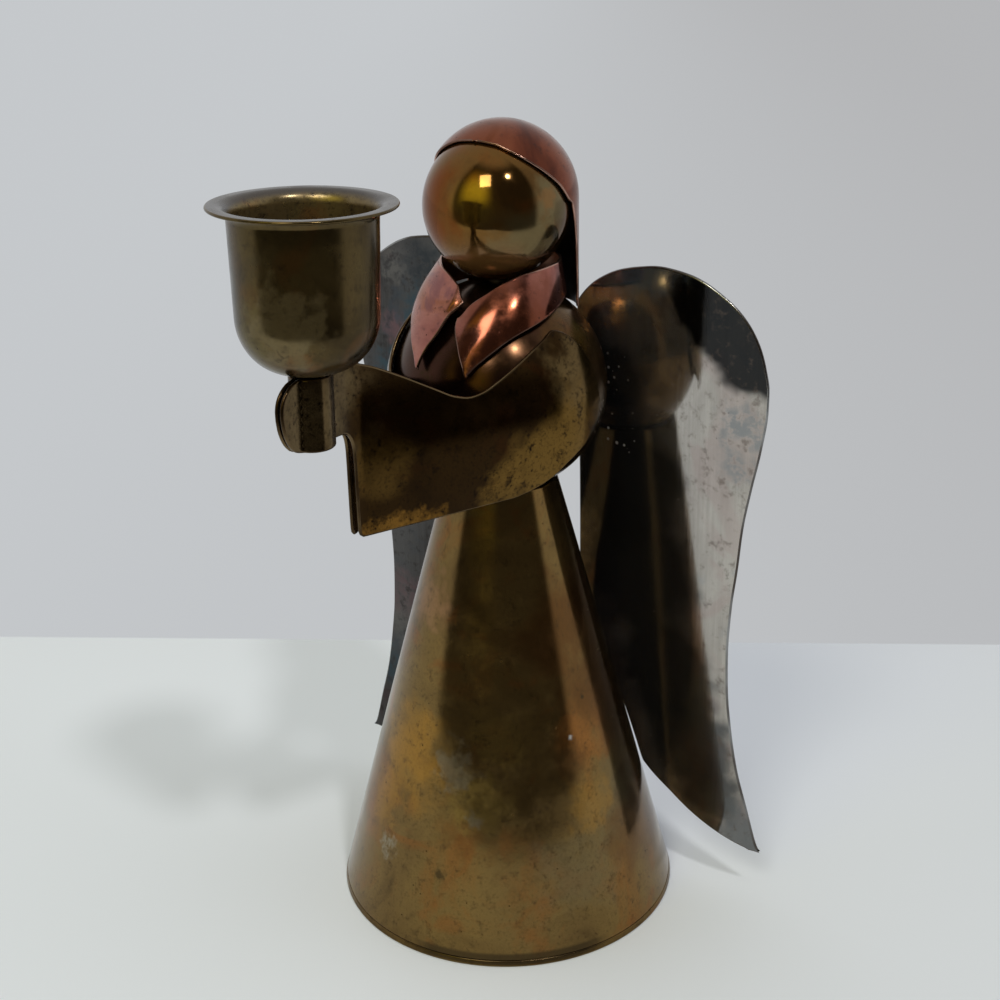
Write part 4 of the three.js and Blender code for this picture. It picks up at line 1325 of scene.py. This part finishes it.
RIGHT_WING_MARKS = [
    Mark((-36, 15.9, 121), 5.0, ASH, 0.8, 0.9),
    Mark((-28, 16.9, 121), 8.0, INK, 0.8, 0.4),
    Mark((-36, 16, 108), 5.0, MAUVE, 0.9, 0.6),
    Mark((-30, 16.6, 112), 7.0, TEAL, 0.95, 0.6),
    Mark((-38, 15.6, 99), 6.0, TEAL, 0.95, 0.6),
    Mark((-33, 16.3, 104), 4.0, ASH, 0.8, 0.8),
    Mark((-38, 15.7, 46), 9.0, MAUVE, 0.5, 0.6),
    Mark((-37, 15.8, 38), 9.0, ASH, 0.6, 0.4),
    Mark((-41, 15.2, 28), 8.0, TEAL, 0.8, 0.6),
]
RIGHT_WING_TONE = (0.15, 0.150, 0.155)
LEFT_WING_TONE = (0.88, 0.865, 0.845)
WING_BACK_TONE = (0.60, 0.59, 0.58)
top_film = Film(Mark((22, 17.8, 128), 11.0, HAZE, 0.95), share=0.87)
left_silver_painted = silver_finish("left wing silver with painted reflection", 0.0, LEFT_WING_TONE, LEFT_WING_MARKS_AND_REFLECTIONS,
                            dotted=LEFT_WING_DOTS, film_patch=top_film)
right_silver = silver_finish("right wing silver", 77.0, RIGHT_WING_TONE, RIGHT_WING_MARKS,
                             film_strength=0.8)
back_silver = silver_finish("wing back silver", 150.0, WING_BACK_TONE, shine=0.12)
settle(wing_left, "wing_left", "silver_plate", left_silver_painted, silver_edge, back_silver)
settle(wing_right, "wing_right", "silver_plate", back_silver, silver_edge, right_silver)

# %% [markdown]
# ## Line of an arm
# An arm is one sheet: it lies round the back of the torso, leaves it as a wide sleeve, narrows to a wrist
# and is clasped round the stem with a flat finger end. Seen from above its line is an arc, a straight run, a
# small bend, another straight run and a clasp. A curve object could be drawn for it, but each stretch has a
# plain formula, so `arm_plan` simply walks along the line.

# %% Line of an arm
ARM_SHEET = 0.7
CUFF_REACH = 44.5       # the cuff's distance in front of the axis
CUFF_BEND = 8.0         # radius of the small bend at the cuff

wrist_offset = (FIT + ARM_SHEET) / 2
clasp_radius = STEM_RADIUS + FIT + ARM_SHEET / 2
hand_middle = torso_z + (HAND_BOTTOM + HAND_TOP) / 2
stem_y = -CUP_REACH - math.tan(lean) * (rim_z - hand_middle)
arm_radius = TORSO_RADIUS + FIT + ARM_SHEET / 2
cuff_distance = math.hypot(wrist_offset, CUFF_REACH)
arm_turn = math.atan2(wrist_offset, CUFF_REACH) + math.acos(arm_radius / cuff_distance)
sleeve_length = (arm_radius * math.sin(arm_turn) - wrist_offset) / math.cos(arm_turn)
bend_angle = math.pi / 2 - arm_turn
bend_start = sleeve_length - CUFF_BEND * math.tan(bend_angle / 2)
bend_end = bend_start + CUFF_BEND * bend_angle
wrist_start = -CUFF_REACH - CUFF_BEND * math.tan(bend_angle / 2)
clasp_half = math.sqrt(clasp_radius ** 2 - wrist_offset ** 2)
clasp_start = bend_end + wrist_start - (stem_y + clasp_half)
clasp_angle = math.acos(wrist_offset / clasp_radius)
clasp_end = clasp_start + 2 * clasp_angle * clasp_radius


def arm_plan(u):
    """Place and outward direction, seen from above, a distance u past where the sleeve leaves the torso."""
    def outward(angle):
        return Vector((math.sin(angle), -math.cos(angle)))

    if u <= 0:
        normal = outward(arm_turn - u / arm_radius)
        return normal * arm_radius, normal
    normal = outward(arm_turn)
    along = Vector((-math.cos(arm_turn), -math.sin(arm_turn)))
    leave = normal * arm_radius
    if u <= bend_start:
        return leave + along * u, normal
    if u <= bend_end:
        bent = outward(arm_turn + (u - bend_start) / CUFF_BEND)
        return leave + along * bend_start + normal * CUFF_BEND - bent * CUFF_BEND, bent
    if u <= clasp_start:
        return Vector((wrist_offset, wrist_start - (u - bend_end))), Vector((1, 0))
    if u <= clasp_end:
        angle = clasp_angle - (u - clasp_start) / clasp_radius
        way = Vector((math.cos(angle), math.sin(angle)))
        return way * clasp_radius + Vector((0, stem_y)), way
    return Vector((wrist_offset, stem_y - clasp_half - (u - clasp_end))), Vector((1, 0))


print("sleeve", round(sleeve_length, 1), "mm long, clasp ends at", round(clasp_end, 1), "mm")

# %% [markdown]
# ## Arms
# The flat outline only has to say how high the sheet is at each step along the line. Both arms are the same
# blank, but the far sleeve is bowed inward and dips deeper, since nothing of it stands out beyond the torso.
# `place` then sets the sheet on the line, tucks the sleeve in under the shoulder and leans the hand with the
# stem.

# %% Arms
FINGER_LENGTH = 4.9
FINGER_TIP = 12.5       # height above the torso's centre
SLEEVE_DIP_SHARE = 0.43  # where the upper edge is lowest
SLEEVE_LOWER = [        # share of the sleeve's length, height above the torso's centre
    (-0.272, 0.5), (-0.255, -2.6), (-0.22, -4.6), (-0.168, -7.1), (-0.118, -8.5), (-0.07, -9.7),
    (-0.03, -10.9), (0.01, -12), (0.06, -13), (0.13, -13.9), (0.22, -14.5), (0.97, -14.5),
]
SLEEVE_UPPER = [
    (-0.272, 0.8), (-0.264, 5), (-0.236, 8.7), (-0.19, 11.7), (-0.127, 13.3), (-0.066, 13.8),
    (0, 12.9), (0.1, 11.3), (0.2, 9.5), (0.29, 7.9), (0.37, 6.7), (0.43, 6.4), (0.5, 7),
    (0.6, 9), (0.75, 12.2), (0.9, 15.1), (0.96, 16),
]
# millimetres past the cuff, height above the torso's centre
CUFF_LOWER = [(-0.3, -14), (0, -13), (0.15, 0.5), (0.6, 3), (1.3, 4.2), (2.4, 4.8)]
FINGER_ROUND = [0, 0.35, 0.62, 0.82, 0.94, 0.99]
RIGHT_SLEEVE_BOW = 3.2   # inward, at the middle of the sleeve
RIGHT_SLEEVE_DROP = 4.0  # of its upper edge
CHEST_TUCK = 0.35        # how much the sleeve's lower half follows the round torso


def arm_outline(side):
    cuff = CUFF_REACH - abs(wrist_start) + bend_end
    lower = [(share * sleeve_length, height) for share, height in SLEEVE_LOWER]
    lower += [(cuff + past, height) for past, height in CUFF_LOWER]
    upper = [(share * sleeve_length, height) for share, height in SLEEVE_UPPER] + [(cuff, HAND_TOP)]
    for edge, level in ((lower, HAND_BOTTOM), (upper, HAND_TOP)):
        edge.append((clasp_start, level))
        for share in FINGER_ROUND:
            height = mix(FINGER_TIP, level, math.sqrt(1 - share ** 2))
            edge.append((clasp_end + share * FINGER_LENGTH, height))
    lower_at, upper_at = curve_through(lower), curve_through(upper)

    def drop(u):
        share = limit(u / sleeve_length / SLEEVE_DIP_SHARE)
        return RIGHT_SLEEVE_DROP * math.sin(math.pi * share) ** 2 if side < 0 else 0.0

    stops = samples(lower[0][0], lower[-1][0], 900)
    return [(u, lower_at(u)) for u in stops] + [(u, upper_at(u) - drop(u)) for u in reversed(stops)]


def arm(name, side):
    def place(u, height):
        spot, normal = arm_plan(u)
        share = limit(u / sleeve_length)
        hollow = arm_radius - math.sqrt(arm_radius ** 2 - height ** 2)
        follow = (1 - share) * (CHEST_TUCK if height < 0 else 1.0)
        bow = RIGHT_SLEEVE_BOW * math.sin(math.pi * share) ** 2 if side < 0 else 0.0
        spot = spot - normal * (follow * hollow + bow)
        handed = limit((u - bend_end) / (clasp_start - bend_end))
        tilt = handed * math.tan(lean) * (torso_z + height - hand_middle)
        return Vector((side * spot.x, spot.y + tilt, torso_z + height))

    return cut_sheet(name, arm_outline(side), place, ARM_SHEET, spacing=0.8)


arm_left = arm("left_arm", 1)
arm_right = arm("right_arm", -1)
print("arms cut with", len(arm_left.data.polygons), "and", len(arm_right.data.polygons), "faces")

# %% [markdown]
# ## Sleeve finish
# The near sleeve is almost black: dark tarnish with the dark of the mirrored room painted into it. It has
# olive patches toward the shoulder where it shows light, painted honey glints along its lower edge and a
# plainer brown hand. Its tone is very low for that reason, and the marks bring the brass back.
# The far sleeve is hardly seen and has no marks.

# %% Sleeve finish
OLIVE = (0.165, 0.092, 0.020)
PITCH_REFLECTION = (0.014, 0.008, 0.003)
HAND_BROWN = (0.135, 0.092, 0.042)
HONEY_GLINT = (0.310, 0.150, 0.026)
TAWNY = (0.150, 0.098, 0.038)
# painted dark reflection: the near sleeve's very low tone
LEFT_SLEEVE_DARK_REFLECTION_TONE = (0.12, 0.085, 0.055)
RIGHT_SLEEVE_TONE = (0.30, 0.25, 0.21)
SLEEVE_MARKS_AND_REFLECTIONS = [
    # painted dark reflection, deeper in two places
    Mark((6.0, -33, 99), 16.0, PITCH_REFLECTION, 0.15),
    Mark((13.0, -20, 101), 12.0, PITCH_REFLECTION, 0.2),
    Mark((2.6, -40.5, 104), 8.0, OLIVE, 0.4, soft=0.6, ragged=0.2),
    Mark((18.0, -10, 97), 13.0, OLIVE, 0.95),
    Mark((13.5, -19, 94), 6.5, OLIVE, 0.7, 0.4),
    Mark((20.5, -5, 105), 9.0, OLIVE, 0.8),
    Mark((20.5, -4, 114), 9.0, TAWNY, 0.8),
    # painted glints along the lower edge
    Mark((1.6, -42, 92.0), 3.4, HONEY_GLINT, 0.5, 0.3),
    Mark((3.4, -38.5, 92.4), 3.6, HONEY_GLINT, 0.55, 0.3),
    Mark((5.4, -34.5, 92.2), 3.4, HONEY_GLINT, 0.5, 0.3),
    Mark((7.6, -30.5, 91.8), 3.0, HONEY_GLINT, 0.4, 0.3),
    Mark((0, -54, torso_z + 11), 14.0, HAND_BROWN, 0.9, 0.15),
]
left_sleeve_painted_brass = brass_finish("left arm brass with painted reflection", 820.0, LEFT_SLEEVE_DARK_REFLECTION_TONE, SLEEVE_MARKS_AND_REFLECTIONS, shine=0.12)
right_brass = brass_finish("right arm brass", 930.0, RIGHT_SLEEVE_TONE, shine=0.14)
settle(arm_left, "arm_left", "brass", left_sleeve_painted_brass, brass_edge)
settle(arm_right, "arm_right", "brass", right_brass, brass_edge)

# %% [markdown]
# ## Bend of the scarf
# The scarf is a strip of copper bent round the neck, wide and sloping in front, narrow and upright behind.
# It is a cone in front and nearly a cylinder behind, swells a little between its edges, and never comes
# nearer to the two balls than its own thickness. `scarf_place` says all this for an angle round the neck and
# a height. A cloth that falls on the shoulders would be softer than sheet metal, so none is simulated.

# %% Bend of the scarf
SCARF_SHEET = 0.6
SCARF_RADIUS = 12.0     # of the cone, at the next height above the neck
SCARF_LEVEL = 0.8
SCARF_FLARE_FRONT = 0.61   # widening for each millimetre down
SCARF_FLARE_BACK = 0.15
SCARF_CONE_TURNS = (45, 110)   # degrees from the front between which the flare changes
# share of the height, degrees from the front
SCARF_LEFT_END = [(0, 15.3), (0.5, 10.3), (1, 3.5)]
SCARF_RIGHT_END = [(0, 12.5), (0.3, 9.8), (0.55, 5), (0.78, 1.8), (1, -6.3)]
# degrees back from the end, height above the neck
SCARF_LOWER = [
    (0, -12.6), (7, -10.7), (15, -8.9), (25, -7.1), (36, -5.8), (54, -4.6), (80, -3.4), (110, -2.6),
    (180, -2),
]
SCARF_LEFT_UPPER = [(0, -3.7), (9, -1.4), (18, 0), (35, 1.9), (60, 3.3), (100, 4), (180, 4.2)]
SCARF_RIGHT_UPPER = [(0, -0.9), (10, 1.4), (30, 2.9), (60, 3.6), (100, 4), (180, 4.2)]
SCARF_CROWN = 1.0       # in front the sheet swells by this much between its edges
MM_PER_DEGREE = 0.25    # about what a degree round the neck measures on the sheet
scarf_lower = curve_through(SCARF_LOWER)
scarf_left = (curve_through(SCARF_LEFT_END), curve_through(SCARF_LEFT_UPPER))
scarf_right = (curve_through(SCARF_RIGHT_END), curve_through(SCARF_RIGHT_UPPER))


def outside_ball(radius, height):
    reach = radius + FIT + SCARF_SHEET
    return math.sqrt(max(reach ** 2 - height ** 2, 0.0))


def larger(a, b, soft=0.5):
    """The larger of two lengths, with a soft turn where they are equal."""
    return (a + b + math.hypot(a - b, soft)) / 2


def scarf_swell(turn, height):
    """How far the sheet stands out between its lower and its upper edge."""
    end, upper = scarf_left if turn <= 180 else scarf_right
    from_front = min(turn, 360 - turn)
    level = 0.5
    for _ in range(4):
        start = end(level)
        station = 180 * (from_front - start) / (180 - start)
        low, high = scarf_lower(station), upper(station)
        level = (height - low) / (high - low)
    return SCARF_CROWN * 4 * level * (1 - level) * (1 - ease(from_front, *SCARF_CONE_TURNS))


def scarf_place(along, height):
    turn = along / MM_PER_DEGREE
    from_front = min(turn, 360 - turn)
    flare = mix(SCARF_FLARE_FRONT, SCARF_FLARE_BACK, ease(from_front, *SCARF_CONE_TURNS))
    cone = SCARF_RADIUS + flare * (SCARF_LEVEL - height) - SCARF_SHEET / 2 * math.hypot(1, flare)
    z = neck_z + height
    balls = max(outside_ball(TORSO_RADIUS, z - torso_z), outside_ball(HEAD_RADIUS, z - head_z))
    radius = larger(cone + scarf_swell(turn, height), balls)
    angle = math.radians(turn)
    return Vector((radius * math.sin(angle), -radius * math.cos(angle), z))


print("scarf stands", round(-scarf_place(0, 0).y, 1), "mm in front of the axis")

# %% [markdown]
# ## Scarf
# The two pointed ends meet in front, where the right one reaches across the middle. The flat outline is
# drawn by the angle round the neck and the height: along the foot of the left half, back along the right
# half, round the right end and home over the upper edges. The near end is redder than the rest, and the
# inside has kept the colour of new copper.

# %% Scarf
def scarf_outline():
    halves = []
    for end, upper in (scarf_left, scarf_right):
        stations = samples(0, 180, 240)
        foot = [(mix(end(0), 180, s / 180), scarf_lower(s)) for s in stations]
        top = [(mix(end(1), 180, s / 180), upper(s)) for s in stations]
        tip = [(end(level), mix(scarf_lower(0), upper(0), level)) for level in samples(0, 1, 40)]
        halves.append((foot, top, tip))
    (left_foot, left_top, left_tip), (right_foot, right_top, right_tip) = halves

    def mirrored(edge):
        return [(360 - turn, height) for turn, height in edge]

    walk = left_foot + mirrored(right_foot)[::-1] + mirrored(right_tip) + mirrored(right_top)
    walk += left_top[::-1] + left_tip[::-1]
    kept = [point for point, last in zip(walk, walk[-1:] + walk[:-1]) if math.dist(point, last) > 1e-6]
    return [(turn * MM_PER_DEGREE, height) for turn, height in kept]


scarf = cut_sheet("neck_scarf", scarf_outline(), scarf_place, SCARF_SHEET, spacing=0.6, lined=True)
LAPPET_RED = (0.175, 0.050, 0.024)
SCARF_MARKS = [
    Mark((9, -13, neck_z - 5), 14.0, LAPPET_RED, 0.9),
    Mark((14, -8, neck_z), 10.0, LAPPET_RED, 0.7),
]
scarf_finish = copper_finish("scarf copper", offset=60.0, marks=SCARF_MARKS)
settle(scarf, "scarf", "copper", scarf_finish, copper_edge, scarf_lining)

# %% [markdown]
# ## Hood
# The hood is a copper cap hammered over the head, which runs on down the back as a veil. A cap has no flat
# outline, so it is drawn as a map of the globe around its crown: the distance from the middle of the map is
# the way down from the crown, first over the ball and then straight down the veil. Half a sphere would do
# for the cap alone, but the veil has to grow out of it without a seam.

# %% Hood
HOOD_SHEET = 0.5
HOOD_ROOM = 0.05        # air between hood and head
HOOD_BACK = 1.6         # the cap's centre behind the head's
HOOD_UP = 1.1           # and above it
VEIL_EDGE = 118         # degrees from the front where the veil begins
# degrees from the front, degrees above the cap's centre
HOOD_RIM = [(0, 54), (25, 51.5), (45, 43.5), (65, 31), (82, 16.5), (98, 0)]
hood_middle = HEAD_RADIUS + HOOD_ROOM + HOOD_SHEET / 2
hood_centre = Vector((0, HOOD_BACK, head_z + HOOD_UP))
cap_length = hood_middle * math.pi / 2


def hood_place(x, y):
    way = math.hypot(x, y)
    angle = math.atan2(x, -y)
    down = min(way, cap_length) / hood_middle
    drop = max(way - cap_length, 0.0)
    out = hood_middle * math.sin(down)
    up = hood_middle * math.cos(down)
    return hood_centre + Vector((out * math.sin(angle), -out * math.cos(angle), up - drop))


def veil_length(turn):
    """From the level of the cap's centre down to where the veil meets the torso."""
    angle = math.radians(turn)
    foot_x = hood_middle * math.sin(angle)
    foot_y = HOOD_BACK - hood_middle * math.cos(angle)
    reach = TORSO_RADIUS + FIT + HOOD_SHEET / 2
    return hood_centre.z - torso_z - math.sqrt(reach ** 2 - foot_x ** 2 - foot_y ** 2)


def hood_outline():
    rim = curve_through(HOOD_RIM)
    rim_end = HOOD_RIM[-1][0]
    half = [(turn, hood_middle * math.radians(90 - rim(turn))) for turn in samples(0, rim_end, 160)]
    half += [(turn, cap_length + veil_length(turn)) for turn in samples(VEIL_EDGE, 180, 160)]
    whole = half + [(-turn, way) for turn, way in half[-2:0:-1]]
    flat = []
    for turn, way in whole:
        angle = math.radians(turn)
        flat.append((way * math.sin(angle), -way * math.cos(angle)))
    return flat


hood = cut_sheet("hood_cap", hood_outline(), hood_place, HOOD_SHEET, spacing=0.7, lined=True)
HOOD_TONE = (0.57, 0.43, 0.28)
hood_finish = copper_finish("hood copper", 200.0, HOOD_TONE)
settle(hood, "hood", "copper", hood_finish, copper_edge, hood_shade_lining)

# %% [markdown]
# ## Steel inside
# The rod, disc, washer and nut that pull the stack together are shut inside the skirt. Their solids in the
# frame have the right shape already, so they stay and only get a finish: plain steel with turning marks,
# which are noise pressed flat into thin rings along the rod.

# %% Steel inside
STEEL_RINGS = [(0.35, (0.30, 0.30, 0.31)), (0.65, (0.46, 0.46, 0.47))]
STEEL_RUST = (0.16, 0.09, 0.05)


def steel_finish():
    material, tree, shader = metal("turned steel")
    place = millimetres(tree)
    rings = clouds(tree, stretched(tree, place, x=20, y=20, z=0.25), size=1, detail=3)
    rust = band(tree, clouds(tree, place, size=4, detail=6), 0.52, 0.70, high=0.6)
    colour = ramp(tree, rings, STEEL_RINGS)
    put(tree, shader.inputs["Base Color"], layer(tree, rust, colour, STEEL_RUST))
    put(tree, shader.inputs["Roughness"], band(tree, rings, 0.3, 0.7, 0.28, 0.42))
    relief(tree, shader, rings, depth=0.03)
    return material


steel = steel_finish()
INNER_NODES = ("tie_rod", "spreader_disc", "washer", "hex_nut")
for name in INNER_NODES:
    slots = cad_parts[name].material_slots
    for material_slot in slots:
        material_slot.material = steel
print("steel finish on", len(INNER_NODES), "inner pieces")
